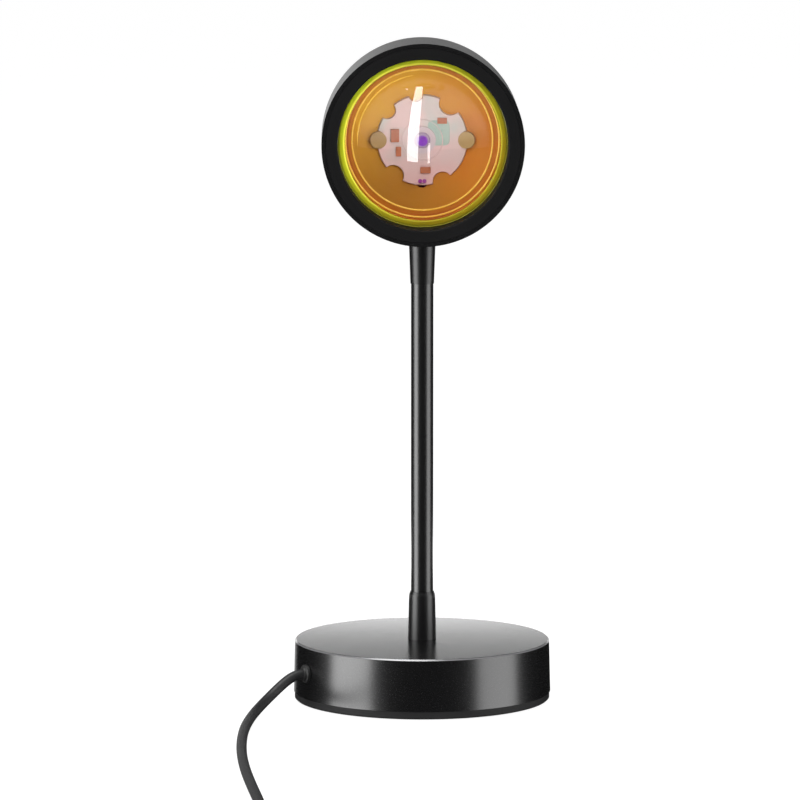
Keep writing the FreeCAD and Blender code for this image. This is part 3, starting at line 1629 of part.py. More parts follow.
def plug():
    """Moulded grip with its strain relief, metal shell and contact tongue."""
    relief = sheet.get("relief_length")
    length = sheet.get("grip_length")
    width = sheet.get("grip_width")
    height = sheet.get("grip_height")
    grip = Part.makeBox(length, width, height, FreeCAD.Vector(relief, -width / 2, -height / 2))
    grip = grip.makeChamfer(sheet.get("grip_edge"), grip.Edges)
    forwards = FreeCAD.Vector(1, 0, 0)
    wide = sheet.get("relief_diameter") / 2
    narrow = CORD_RADIUS + sheet.get("relief_end_wall")
    sleeve_length = relief + overlap.number
    sleeve = Part.makeCone(narrow, wide, sleeve_length, FreeCAD.Vector(0, 0, 0), forwards)
    place_plug(solid_piece("usb_plug_grip", grip.fuse(sleeve)))
    start = relief + length
    long, broad, high = (sheet.get("plug_" + name) for name in ("length", "width", "height"))
    wall = sheet.get("plug_wall")
    outside = Part.makeBox(long, broad, high, FreeCAD.Vector(start, -broad / 2, -high / 2))
    corner = FreeCAD.Vector(start, wall - broad / 2, wall - high / 2)
    inside = Part.makeBox(long, broad - 2 * wall, high - 2 * wall, corner)
    past = overcut.number
    window_width = sheet.get("plug_window_width")
    windows = [
        Part.makeBox(
            sheet.get("plug_window_length"),
            window_width,
            high + 2 * past,
            FreeCAD.Vector(
                start + sheet.get("plug_window_back"),
                side * sheet.get("plug_window_across") - window_width / 2,
                -high / 2 - past,
            ),
        )
        for side in (-1, 1)
    ]
    shell = outside.cut(inside).cut(windows[0]).cut(windows[1])
    place_plug(solid_piece("usb_plug_shell", shell))
    tongue_height = sheet.get("tongue_height")
    corner = FreeCAD.Vector(start, wall - broad / 2, high / 2 - wall - tongue_height)
    tongue_length = long - sheet.get("tongue_setback")
    tongue = Part.makeBox(tongue_length, broad - 2 * wall, tongue_height, corner)
    place_plug(solid_piece("usb_plug_tongue", tongue))


def cord():
    """All the cord beyond the bush, with its switch, coil and plug."""
    lengths = [cord_stretch("cord_lead", LEAD_ROUTE), cord_stretch("cord_tail", TAIL_ROUTE)]
    lengths += [cord_coil(), cord_stretch("cord_end", END_ROUTE), sheet.get("switch_length")]
    print("whole cord", round(sum(lengths), 1))


# ---------------------------------------------------------------- build and write


def build():
    base_shell()
    base_bottom_cover()
    base_weight()
    base_foot_pad()
    base_screws()
    cord_grommet()
    cord_clamp()
    lower_neck_fixing()
    lower_ferrule()
    lower_end_fitting()
    neck_links()
    neck_sleeve()
    upper_end_fitting()
    upper_ferrule()
    upper_neck_fixing()
    head_housing()
    front_bezel()
    lens_gasket()
    lens()
    inner_reflector()
    heat_sink()
    heat_sink_screws()
    led_board()
    board_screws()
    led_emitter()
    led_components()
    head_rear_cover()
    rear_cover_screws()
    wires()
    cord()
    cord_switch()
    plug()


def write():
    """Check every piece, then write each to its own file."""
    doc.recompute()
    broken = [f.Label for f in doc.Objects if {"Invalid", "Error"} & set(f.State)]
    if broken:
        raise RuntimeError("failed objects: " + ", ".join(broken))
    os.makedirs("parts", exist_ok=True)
    for feature in PIECES:
        shape = feature.Shape
        if shape.isNull() or not shape.isValid() or not shape.Solids:
            raise RuntimeError("bad shape: " + feature.Label)
        shape.exportStep("parts/%s.step" % feature.Label)
        print(feature.Label, len(shape.Solids), "solid(s)", round(shape.Volume, 1), "mm3")


build()
write()
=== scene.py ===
import json
import math

import bmesh
import bpy
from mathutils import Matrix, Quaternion, Vector


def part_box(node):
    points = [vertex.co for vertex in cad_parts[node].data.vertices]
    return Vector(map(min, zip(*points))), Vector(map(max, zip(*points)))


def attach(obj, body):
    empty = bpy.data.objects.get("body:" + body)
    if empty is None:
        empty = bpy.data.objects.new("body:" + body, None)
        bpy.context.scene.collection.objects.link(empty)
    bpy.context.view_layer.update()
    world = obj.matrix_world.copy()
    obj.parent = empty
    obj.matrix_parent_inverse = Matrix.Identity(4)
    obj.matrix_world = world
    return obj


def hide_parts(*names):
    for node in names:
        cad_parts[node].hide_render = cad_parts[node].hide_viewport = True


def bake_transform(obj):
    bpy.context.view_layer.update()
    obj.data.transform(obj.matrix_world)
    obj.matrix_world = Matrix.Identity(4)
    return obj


# A small table lamp that throws a round coloured light. Metres, Z up, the lens looks along -Y.

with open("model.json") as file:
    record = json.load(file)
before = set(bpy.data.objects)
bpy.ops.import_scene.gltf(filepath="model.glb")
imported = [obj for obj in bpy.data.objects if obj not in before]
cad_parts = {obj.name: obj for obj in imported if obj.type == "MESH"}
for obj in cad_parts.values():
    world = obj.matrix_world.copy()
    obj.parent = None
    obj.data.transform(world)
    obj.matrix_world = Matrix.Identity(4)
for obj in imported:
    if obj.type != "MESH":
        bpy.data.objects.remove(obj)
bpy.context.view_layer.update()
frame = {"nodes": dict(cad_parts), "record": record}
NODES = frame["nodes"]

# ------------------------------------------------------------------ node helpers


class Tree:
    """A material's nodes, made by short calls."""

    def __init__(self, name):
        self.material = bpy.data.materials.new(name)
        self.material.use_nodes = True
        self.nodes = self.material.node_tree.nodes
        self.links = self.material.node_tree.links
        self.nodes.clear()
        self.out = self.nodes.new("ShaderNodeOutputMaterial")

    def add(self, kind, **sockets):
        node = self.nodes.new("ShaderNode" + kind)
        for name, value in sockets.items():
            self.plug(node, name.replace("_", " "), value)
        return node

    def plug(self, node, name, value):
        if isinstance(value, bpy.types.NodeSocket):
            self.links.new(value, node.inputs[name])
        else:
            node.inputs[name].default_value = value

    def noise(self, scale, detail=3.0):
        where = self.add("TexCoord").outputs["Object"]
        made = self.add("TexNoise", Vector=where, Scale=scale, Detail=detail)
        return made.outputs["Fac"]

    def span(self, value, low, high, start=0.3, end=0.7):
        node = self.add("MapRange", Value=value)
        for name, number in (("From Min", start), ("From Max", end), ("To Min", low), ("To Max", high)):
            node.inputs[name].default_value = number
        return node.outputs["Result"]

    def math(self, kind, first, second=0.0):
        node = self.nodes.new("ShaderNodeMath")
        node.operation = kind
        self.plug(node, 0, first)
        self.plug(node, 1, second)
        return node.outputs[0]

    def round_axis(self, keep, shift):
        """Distance from an axis, and the offset from it; keep drops the axis's own direction."""
        where = self.add("TexCoord").outputs["Object"]
        moved = self.add("Mapping", Vector=where)
        moved.inputs["Scale"].default_value = keep
        moved.inputs["Location"].default_value = shift
        length = self.nodes.new("ShaderNodeVectorMath")
        length.operation = "LENGTH"
        self.links.new(moved.outputs["Vector"], length.inputs[0])
        return length.outputs["Value"], moved.outputs["Vector"]

    def side(self, offset, direction):
        """How far an offset points along a direction, from -1 to 1."""
        unit = self.nodes.new("ShaderNodeVectorMath")
        unit.operation = "NORMALIZE"
        self.links.new(offset, unit.inputs[0])
        along = self.nodes.new("ShaderNodeVectorMath")
        along.operation = "DOT_PRODUCT"
        self.links.new(unit.outputs["Vector"], along.inputs[0])
        along.inputs[1].default_value = direction
        return along.outputs["Value"]

    def height(self):
        split = self.add("SeparateXYZ", Vector=self.add("TexCoord").outputs["Object"])
        return split.outputs["Z"]

    def blend(self, factor, first, second):
        node = self.nodes.new("ShaderNodeMix")
        node.data_type = "RGBA"
        self.plug(node, 0, factor)
        self.plug(node, 6, first)
        self.plug(node, 7, second)
        return node.outputs[2]

    def bump(self, height, strength, distance=0.00002):
        node = self.add("Bump", Height=height, Strength=strength)
        node.inputs["Distance"].default_value = distance
        return node.outputs["Normal"]


def rgba(colour):
    return (*colour, 1.0)


def surface(name, dark, light, rough, metal, grain, bump, level=0.5):
    """A skin whose colour and roughness vary a little, with a fine grain."""
    t = Tree(name)
    cloud = t.noise(38.0, 4.0)
    fine = t.noise(grain, 2.0)
    shader = t.add("BsdfPrincipled")
    t.plug(shader, "Base Color", t.blend(t.span(cloud, 0.0, 1.0), rgba(dark), rgba(light)))
    t.plug(shader, "Roughness", t.span(fine, rough[0], rough[1]))
    t.plug(shader, "Metallic", metal)
    t.plug(shader, "Specular IOR Level", level)
    t.plug(shader, "Normal", t.bump(fine, bump))
    t.links.new(shader.outputs["BSDF"], t.out.inputs["Surface"])
    return t.material


# the head's front face and the height of its axis
HEAD_FRONT = -0.027
HEAD_HEIGHT = 0.225
ROUND_LENS = ((1, 0, 1), (0, 0, -HEAD_HEIGHT))
UP_LEFT = (-0.707, 0, 0.707)
COAT_START, COAT_FULL = 0.0305, 0.031
# radius and fade of a painted highlight line round the coated rim
PAINTED_HIGHLIGHT_RADIUS = 0.0312
PAINTED_HIGHLIGHT_FADE = 0.0005
COAT_DARKENS, COAT_DARK = 0.0326, 0.0333


def lens_glass(name, level):
    """Clear glass with a yellow-green coating at its rim, painted by radius for the coating's sheen at
    grazing angles; painted light makes the rim lighter and greener up-left, a painted highlight line runs
    round it, and it darkens towards its outer edge; tinted shadow rays pass through.
    """
    t = Tree(name)
    radius, offset = t.round_axis(*ROUND_LENS)
    glass = t.add("BsdfPrincipled")
    t.plug(glass, "Base Color", t.blend(t.span(t.noise(30.0), 0, 1), (1, 0.98, 0.95, 1), (1, 0.95, 0.9, 1)))
    t.plug(glass, "Roughness", t.span(t.noise(60.0), 0.0, 0.008))
    t.plug(glass, "IOR", 1.49)
    t.plug(glass, "Transmission Weight", 1.0)
    t.plug(glass, "Specular IOR Level", level)
    coat = t.add("BsdfPrincipled")
    # painted light: the rim is lime up-left and olive down-right, as if lit from the upper left
    painted_light_side = t.span(t.side(offset, UP_LEFT), 0.0, 1.0, -0.75, 0.95)
    skin = t.blend(painted_light_side, (0.36, 0.27, 0.012, 1), (0.6, 0.7, 0.025, 1))
    # painted highlight: a thin bright yellow line round the rim, strongest on the lit side
    painted_highlight_line = t.span(t.math("ABSOLUTE", t.math("SUBTRACT", radius, PAINTED_HIGHLIGHT_RADIUS)), 1.0, 0.0, 0.0, PAINTED_HIGHLIGHT_FADE)
    skin = t.blend(t.math("MULTIPLY", painted_highlight_line, t.span(painted_light_side, 0.35, 1.0, 0, 0.7)), skin, (1.0, 0.95, 0.1, 1))
    edge = t.span(radius, 0.0, 0.8, COAT_DARKENS, COAT_DARK)
    t.plug(coat, "Base Color", t.blend(edge, skin, (0.1, 0.11, 0.01, 1)))
    t.plug(coat, "Roughness", t.span(t.noise(200.0), 0.14, 0.2))
    mix = t.add("MixShader")
    t.links.new(t.span(radius, 0.0, 0.93, COAT_START, COAT_FULL), mix.inputs[0])
    t.links.new(glass.outputs["BSDF"], mix.inputs[1])
    t.links.new(coat.outputs["BSDF"], mix.inputs[2])
    passing = t.add("BsdfTransparent", Color=(1.0, 0.93, 0.8, 1))
    shade = t.add("MixShader")
    t.links.new(t.add("LightPath").outputs["Is Shadow Ray"], shade.inputs[0])
    t.links.new(mix.outputs["Shader"], shade.inputs[1])
    t.links.new(passing.outputs["BSDF"], shade.inputs[2])
    t.links.new(shade.outputs["Shader"], t.out.inputs["Surface"])
    return t.material


BLACK = (0.0025, 0.0025, 0.0027)
SHELL_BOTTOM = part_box("base_shell")[0][2]
# where the painted highlight line at the shell's top edge lies, and how far the one at the lower edge fades
# out above it
TOP_LINE_LOW = (0.02385, 0.024)
TOP_LINE_HIGH = (0.0243, 0.02442)
FOOT_LINE = (SHELL_BOTTOM + 0.0002, SHELL_BOTTOM + 0.0005)


def base_paint():
    """Satin black with painted highlights: a bright, partly metallic line at the top edge and a fainter one
    at the lower edge.
    """
    t = Tree("base_paint")
    height = t.height()
    above = t.span(height, 0, 1, *TOP_LINE_LOW)
    top = t.math("MULTIPLY", above, t.span(height, 1, 0, *TOP_LINE_HIGH))
    foot = t.span(height, 1.0, 0.0, *FOOT_LINE)
    # painted highlight: both edge lines are lighter grey and partly metallic, standing in for light caught
    # on the edges
    painted_highlight_edges = t.math("MAXIMUM", top, t.math("MULTIPLY", foot, 0.5))
    fine = t.noise(3500.0, 2.0)
    shader = t.add("BsdfPrincipled")
    paint = t.blend(t.span(t.noise(38.0, 4.0), 0, 1), rgba(BLACK), (0.0034, 0.0034, 0.0037, 1))
    t.plug(shader, "Base Color", t.blend(painted_highlight_edges, paint, (0.16, 0.16, 0.165, 1)))
    t.plug(shader, "Metallic", t.math("MULTIPLY", painted_highlight_edges, 0.25))
    t.plug(shader, "Specular IOR Level", 0.85)
    t.plug(shader, "Roughness", t.span(fine, 0.23, 0.28))
    t.plug(shader, "Normal", t.bump(fine, 0.015))
    t.links.new(shader.outputs["BSDF"], t.out.inputs["Surface"])
    return t.material


SINK_BEAD_RADIUS = 0.0222
BEAD_FADE = 0.0001


def gilded_plate():
    """Plate behind the board, coated gold: deeper on the right and outside its bead, with painted shade
    darkening its lower left.
    """
    t = Tree("sink_aluminium")
    radius, offset = t.round_axis(*ROUND_LENS)
    cloud = t.span(t.noise(70.0, 3.0), 0.0, 1.0)
    to_the_right = t.span(t.side(offset, (0.94, 0, -0.34)), 0.0, 0.75, -0.5, 0.8)
    warm = t.math("ADD", to_the_right, t.math("MULTIPLY", cloud, 0.3))
    skin = t.blend(warm, (0.6, 0.34, 0.02, 1), (0.52, 0.18, 0.016, 1))
    # painted shade: the lower left of the plate goes dark brown
    painted_shade_below = t.span(t.side(offset, (-0.5, 0, -0.87)), 0.0, 0.7, 0.2, 1.0)
    skin = t.blend(painted_shade_below, skin, (0.26, 0.11, 0.01, 1))
    outside = t.span(radius, 0.0, 0.8, SINK_BEAD_RADIUS - BEAD_FADE, SINK_BEAD_RADIUS + BEAD_FADE)
    skin = t.blend(outside, skin, (0.42, 0.13, 0.01, 1))
    shader = t.add("BsdfPrincipled")
    t.plug(shader, "Base Color", skin)
    t.plug(shader, "Roughness", t.span(t.noise(900.0), 0.35, 0.5))
    t.plug(shader, "Normal", t.bump(t.noise(900.0), 0.1))
    t.links.new(shader.outputs["BSDF"], t.out.inputs["Surface"])
    return t.material


PINK_BELOW = (0.214, 0.228)


def board_resist():
    """Pale solder resist that goes from cool to lilac to pink."""
    t = Tree("board_white")
    cloud = t.span(t.noise(95.0, 2.0), 0, 1, 0.4, 0.6)
    low = t.span(t.height(), 1.0, 0.0, *PINK_BELOW)
    skin = t.blend(cloud, (0.5, 0.54, 0.62, 1), (0.66, 0.54, 0.64, 1))
    shader = t.add("BsdfPrincipled")
    t.plug(shader, "Base Color", t.blend(t.math("MULTIPLY", low, 0.75), skin, (0.6, 0.38, 0.46, 1)))
    t.plug(shader, "Roughness", t.span(t.noise(900.0), 0.3, 0.42))
    t.links.new(shader.outputs["BSDF"], t.out.inputs["Surface"])
    return t.material


CHIPS_END = (0.0015, 0.0019)
BALL_END = (0.0024, 0.0026)


def emitter():
    """Violet chips under a clear half-ball on a pale carrier; the chips' violet is partly their own tint
    and partly a painted reflection.
    """
    t = Tree("led_violet")
    radius = t.round_axis(*ROUND_LENS)[0]
    ring = t.span(radius, 0, 1, *BALL_END)
    # the violet is partly the chips' own tint and partly a painted reflection of violet light on the LED
    violet_chips_and_painted_reflection = t.blend(t.span(t.noise(1500.0), 0, 1), (0.13, 0.008, 0.5, 1), (0.24, 0.03, 0.7, 1))
    shell = t.blend(t.span(radius, 0, 1, *CHIPS_END), violet_chips_and_painted_reflection, (0.4, 0.33, 0.62, 1))
    shader = t.add("BsdfPrincipled")
    t.plug(shader, "Base Color", t.blend(ring, shell, (0.52, 0.47, 0.6, 1)))
    t.plug(shader, "Roughness", t.span(ring, 0.08, 0.35, 0, 1))
    t.links.new(shader.outputs["BSDF"], t.out.inputs["Surface"])
    return t.material


SKINS = (
    # slot, dark, light, roughness, metal, grain, bump
    ("foot_foam", (0.01, 0.01, 0.01), (0.022, 0.022, 0.022), (0.85, 0.95), 0.0, 1500, 0.8),
    ("cast_weight", (0.12, 0.115, 0.11), (0.24, 0.23, 0.22), (0.5, 0.7), 0.8, 500, 0.8),
    ("screw_steel", (0.5, 0.5, 0.51), (0.6, 0.6, 0.6), (0.22, 0.34), 1.0, 1200, 0.1),
    ("fitting_steel", (0.45, 0.45, 0.45), (0.56, 0.56, 0.55), (0.2, 0.35), 1.0, 900, 0.1),
    ("link_steel", (0.4, 0.4, 0.41), (0.5, 0.5, 0.5), (0.3, 0.42), 1.0, 1200, 0.1),
    ("bush_black", (0.006, 0.006, 0.006), (0.011, 0.011, 0.011), (0.5, 0.6), 0.0, 1200, 0.2),
    ("clamp_black", (0.03, 0.03, 0.03), (0.05, 0.05, 0.05), (0.45, 0.55), 0.0, 900, 0.2),
    ("gasket_black", (0.012, 0.012, 0.012), (0.02, 0.02, 0.02), (0.7, 0.8), 0.0, 900, 0.2),
    ("reflector_amber", (0.3, 0.07, 0.008), (0.5, 0.17, 0.012), (0.3, 0.42), 0.0, 700, 0.1),
    ("component_dark", (0.3, 0.1, 0.06), (0.42, 0.15, 0.09), (0.3, 0.45), 0.0, 900, 0.1),
    ("wire_pvc", (0.22, 0.04, 0.3), (0.3, 0.06, 0.38), (0.35, 0.45), 0.0, 900, 0.1),
    ("cord_black", (0.009, 0.009, 0.0095), (0.014, 0.014, 0.0145), (0.5, 0.58), 0.0, 1100, 0.3),
    ("switch_black", (0.012, 0.012, 0.013), (0.019, 0.019, 0.02), (0.42, 0.52), 0.0, 1400, 0.5),
    ("button_grey", (0.07, 0.07, 0.07), (0.1, 0.1, 0.1), (0.28, 0.36), 0.0, 900, 0.1),
    ("plug_black", (0.012, 0.012, 0.013), (0.019, 0.019, 0.02), (0.42, 0.52), 0.0, 1400, 0.5),
    ("plug_steel", (0.68, 0.68, 0.69), (0.76, 0.76, 0.77), (0.12, 0.2), 1.0, 1500, 0.05),
    ("tongue_white", (0.74, 0.74, 0.73), (0.84, 0.84, 0.83), (0.4, 0.5), 0.0, 900, 0.1),
)
SATIN = (
    # the same for the satin parts, and how strongly they reflect
    ("head_paint", BLACK, (0.0036, 0.0036, 0.0039), (0.27, 0.33), 0.0, 3500, 0.015, 0.8),
    ("ferrule_black", BLACK, (0.0034, 0.0034, 0.0037), (0.32, 0.37), 0.0, 3500, 0.015, 0.6),
    ("sleeve_black", BLACK, (0.0036, 0.0036, 0.0039), (0.28, 0.32), 0.0, 3500, 0.015, 0.8),
    ("cover_black", (0.008, 0.008, 0.0083), (0.011, 0.011, 0.0113), (0.6, 0.7), 0.0, 1200, 0.2, 0.2),
)
MATERIALS = {skin[0]: surface(*skin) for skin in SKINS + SATIN}
MATTE_RING = ((0.0028, 0.0028, 0.003), (0.0038, 0.0038, 0.004), (0.62, 0.72), 0.0, 1500, 0.2)
MATERIALS["bezel_black"] = surface("bezel_black", *MATTE_RING, level=0.12)
MATERIALS["lens_amber"] = lens_glass("lens_amber", 0.5)
LENS_BACK = lens_glass("lens_back", 0.0)
MATERIALS["base_paint"] = base_paint()
MATERIALS["board_white"] = board_resist()
MATERIALS["sink_aluminium"] = gilded_plate()
MATERIALS["led_violet"] = emitter()
# bright yellow for beads on the reflector and the plate: painted highlights standing in for light caught on
# their edges
PAINTED_HIGHLIGHT_GOLD = surface("reflector_edges_painted_highlight", (0.95, 0.66, 0.12), (1.0, 0.8, 0.2), (0.2, 0.3), 0.0, 700, 0.05)
DULL_SCREW = surface("board_screw_heads", (0.3, 0.2, 0.09), (0.4, 0.29, 0.14), (0.45, 0.55), 0.3, 900, 0.1)
TEAL = surface("board_teal", (0.26, 0.42, 0.46), (0.36, 0.5, 0.54), (0.25, 0.35), 0.0, 900, 0.05)

# ------------------------------------------------------------------ carried-over nodes

SMOOTH_BELOW = math.radians(28)


def smooth(mesh):
    mesh.polygons.foreach_set("use_smooth", [True] * len(mesh.polygons))
    mesh.set_sharp_from_angle(angle=SMOOTH_BELOW)


for part in frame["record"]["subparts"]:
    node = NODES[part["node"]]
    node.data.materials.clear()
    node.data.materials.append(MATERIALS[part["material_slot"]])
NODES["board_screws"].data.materials[0] = DULL_SCREW
ROUND_NODES = (
    "base_shell", "base_bottom_cover", "lower_ferrule", "upper_ferrule", "head_housing", "head_rear_cover",
    "front_bezel",
)
SEAM = 0.00001
for name in ROUND_NODES:
    weld = NODES[name].modifiers.new("seams", "WELD")
    weld.merge_threshold = SEAM
    split = NODES[name].modifiers.new("edges", "EDGE_SPLIT")
    split.split_angle = SMOOTH_BELOW

# ------------------------------------------------------------------ new pieces


def own(name, mesh, slot, body, *replaced, skin=None):
    """Finish a new piece: its material, picked by its slot, its body and what it stands for."""
    made = bpy.data.objects.new(name, mesh)
    bpy.context.scene.collection.objects.link(made)
    smooth(mesh)
    mesh.materials.append(skin or MATERIALS[slot])
    if body:
        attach(made, body)
    if replaced:
        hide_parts(*replaced)
    return made


ON_AXIS = 1e-7


def even(angle):
    return 1.0


def turned(name, rings, steps, place, shape=even):
    """A closed solid turned from a closed outline of (radius, height) points."""
    bm = bmesh.new()
    grid = []
    for radius, height in rings:
        if radius < ON_AXIS:
            grid.append([bm.verts.new(place(0.0, 0.0, height))] * steps)
            continue
        circle = []
        for i in range(steps):
            angle = 2 * math.pi * i / steps
            reach = radius * shape(angle)
            circle.append(bm.verts.new(place(reach * math.cos(angle), reach * math.sin(angle), height)))
        grid.append(circle)
    closed = rings[0][0] > ON_AXIS
    pairs = zip(grid, grid[1:] + (grid[:1] if closed else []))
    for low, high in pairs:
        for i in range(steps):
            j = (i + 1) % steps
            corners = []
            for vertex in (low[i], low[j], high[j], high[i]):
                if vertex not in corners:
                    corners.append(vertex)
            if len(corners) > 2:
                bm.faces.new(corners)
    bmesh.ops.recalc_face_normals(bm, faces=bm.faces)
    mesh = bpy.data.meshes.new(name)
    bm.to_mesh(mesh)
    bm.free()
    return mesh


def upright(x, y, height):
    return (x, y, height)


def in_head(x, z, depth):
    """Depth runs back from the head's front face."""
    return (x, HEAD_FRONT + depth, HEAD_HEIGHT + z)


def joined(meshes):
    """Several meshes in one."""
    bm = bmesh.new()
    for mesh in meshes:
        bm.from_mesh(mesh)
    bm.to_mesh(meshes[0])
    bm.free()
    return meshes[0]


# the sleeve: one piece for each joint, from mid-link to mid-link
NECK_START = 0.0436
NECK_END = 0.1677
JOINTS = 12
PITCH = (NECK_END - NECK_START) / JOINTS
SLEEVE_SEAT = 0.0071
OUTER = 0.00445
INNER = 0.00345


def sleeve_piece(low, high, rows):
    heights = [low + (high - low) * i / rows for i in range(rows + 1)]
    outline = [(OUTER, h) for h in heights] + [(INNER, h) for h in reversed(heights)]
    return turned("sleeve", outline, 64, upright)


for index in range(JOINTS):
    low = NECK_START + PITCH * index
    piece = own("sleeve_%02d" % (index + 1), sleeve_piece(low, low + PITCH, 12), "sleeve_black", None)
    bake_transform(piece)
foot_end = sleeve_piece(NECK_START - SLEEVE_SEAT, NECK_START, 2)
own("sleeve_foot", foot_end, "sleeve_black", "base", "neck_sleeve")
own("sleeve_head", sleeve_piece(NECK_END, NECK_END + SLEEVE_SEAT, 2), "sleeve_black", "head")

# the two wires through the neck, cut into pieces in the same way
WIRE = 0.00065
WIRE_APART = 0.00136
WIRES_START = 0.0355
WIRES_END = 0.1758


def wires_piece(low, high, rows):
    heights = [low + (high - low) * i / rows for i in range(rows + 1)]
    outline = [(0.0, low)] + [(WIRE, h) for h in heights] + [(0.0, high)]
    pair = []
    for side in (-0.5, 0.5):
        def place(x, y, height, side=side):
            return (x + side * WIRE_APART, y, height)
        pair.append(turned("wires", outline, 24, place))
    return joined(pair)


for index in range(JOINTS):
    low = NECK_START + PITCH * index
    piece = own("wires_%02d" % (index + 1), wires_piece(low, low + PITCH, 10), "wire_pvc", None)
    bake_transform(piece)
own("wires_foot", wires_piece(WIRES_START, NECK_START, 2), "wire_pvc", "base", "neck_wires")
own("wires_head", wires_piece(NECK_END, WIRES_END, 2), "wire_pvc", "head")

# the lens: flat behind, domed in front, turned finely so that it bends light smoothly
LENS_FOOT = 0.0161
FLANGE_BACK = 0.0181
FLANGE = 0.0368
DOME = 0.0334
SAG = 0.0155
BALL = (DOME**2 + SAG**2) / (2 * SAG)
DOME_ROWS = 72
JUST_INSIDE = 0.0001
dome = []
for index in range(DOME_ROWS + 1):
    angle = math.asin(DOME / BALL) * index / DOME_ROWS
    dome.append((BALL * math.sin(angle), LENS_FOOT - SAG + BALL * (1 - math.cos(angle))))
rim = [(FLANGE, LENS_FOOT), (FLANGE, FLANGE_BACK), (0.0, FLANGE_BACK)]
glass = own("lens_glass", turned("lens_glass", dome + rim, 256, in_head), "lens_amber", "head", "lens")
glass.data.materials.append(LENS_BACK)
for face in glass.data.polygons:
    face.material_index = int(face.center.y > HEAD_FRONT + FLANGE_BACK - JUST_INSIDE)

# the board: a star with seven round notches, a pad and a ring, in the place of the board node
BOARD_FRONT = 0.0262
BOARD_BACK = 0.0278
BOARD_RADIUS = 0.014
BREAK = 0.0001
# each notch's angle in degrees and its radius; their centres lie a little outside the edge
NOTCHES = (
    (0, 0.0028), (52, 0.0036), (98, 0.0023), (140, 0.0027), (180, 0.0029), (231, 0.0033), (296, 0.003),
)
NOTCH_CENTRE = 1.02


def star(angle):
    """How far the board reaches at an angle, as a share of its radius."""
    reach = 1.0
    for degrees, radius in NOTCHES:
        turn = math.radians(degrees) - angle
        along = math.cos(turn) * NOTCH_CENTRE
        spare = along**2 - NOTCH_CENTRE**2 + (radius / BOARD_RADIUS) ** 2
        if along > 0 and spare > 0:
            reach = min(reach, along - math.sqrt(spare))
    return reach


def slab(reach, front, back, edge=BREAK):
    """The outline of a flat round plate with broken edges."""
    front_face = [(0.0, front), (reach - edge, front), (reach, front + edge)]
    return front_face + [(reach, back - edge), (reach - edge, back), (0.0, back)]


def bead(reach, depth, thick, count=16):
    """The outline of a round ring."""
    turns = [2 * math.pi * i / count for i in range(count)]
    return [(reach + thick * math.cos(a), depth + thick * math.sin(a)) for a in turns]


board_outline = slab(BOARD_RADIUS, BOARD_FRONT, BOARD_BACK)
board = turned("board_star", board_outline, 720, in_head, star)
own("board_star", board, "board_white", "head", "led_board")
ring_outline = bead(0.0063, BOARD_FRONT, 0.0002)
own("board_ring", turned("board_ring", ring_outline, 96, in_head), "board_white", "head")

PAD_HALF = 0.0034
PAD_FRONT, PAD_BACK = 0.02608, 0.02625
PAD_BREAK = 0.00004
PAD_RIGHT, PAD_UP = 0.0051, 0.0022
PAD_STRETCH = 1.15


def pad_shape(angle):
    """A rounded square, as a share of its half width."""
    return (abs(math.cos(angle)) ** 5 + abs(math.sin(angle)) ** 5) ** -0.2


def on_pad(x, z, depth):
    return in_head(x + PAD_RIGHT, z * PAD_STRETCH + PAD_UP, depth)


pad = turned("board_pad", slab(PAD_HALF, PAD_FRONT, PAD_BACK, PAD_BREAK), 96, on_pad, pad_shape)
own("board_pad", pad, "board_white", "head", skin=TEAL)
# raised beads coloured as painted highlights: bright gold lines round the reflector's lip and the plate
lip = turned("reflector_lip", bead(0.0251, 0.0266, 0.00034), 192, in_head)
own("reflector_lip", lip, "reflector_amber", "head", skin=PAINTED_HIGHLIGHT_GOLD)
round_bead = turned("sink_bead", bead(SINK_BEAD_RADIUS, BOARD_BACK, 0.0003), 192, in_head)
own("sink_bead", round_bead, "sink_aluminium", "head", skin=PAINTED_HIGHLIGHT_GOLD)

ARC_RADIUS = 0.0203
ARC_STEPS = 64
ARC_SIDES = 12
ARC_THICK = 0.00024


def arc_bead(first, last):
    """A raised line along part of a circle, with tapered ends."""
    bm = bmesh.new()
    loops = []
    for i in range(ARC_STEPS + 1):
        share = i / ARC_STEPS
        around = math.radians(first + (last - first) * share)
        thick = ARC_THICK * min(1.0, 0.15 + 6 * share, 0.15 + 6 * (1 - share))
        loop = []
        for j in range(ARC_SIDES):
            turn = 2 * math.pi * j / ARC_SIDES
            reach = ARC_RADIUS + thick * math.cos(turn)
            depth = BOARD_BACK + thick * math.sin(turn)
            loop.append(bm.verts.new(in_head(reach * math.cos(around), reach * math.sin(around), depth)))
        loops.append(loop)
    for here, there in zip(loops, loops[1:]):
        for j in range(ARC_SIDES):
            k = (j + 1) % ARC_SIDES
            bm.faces.new((here[j], here[k], there[k], there[j]))
    bm.faces.new(loops[0])
    bm.faces.new(loops[-1])
    bmesh.ops.recalc_face_normals(bm, faces=bm.faces)
    mesh = bpy.data.meshes.new("sink_arc_painted_reflection")
    bm.to_mesh(mesh)
    bm.free()
    return mesh


# the arc stands in for a reflection of the plate's ring in the lens's flat back: a painted reflection,
# built as a raised bright gold line
own("sink_arc_painted_reflection", arc_bead(98, 186), "sink_aluminium", "head", skin=PAINTED_HIGHLIGHT_GOLD)

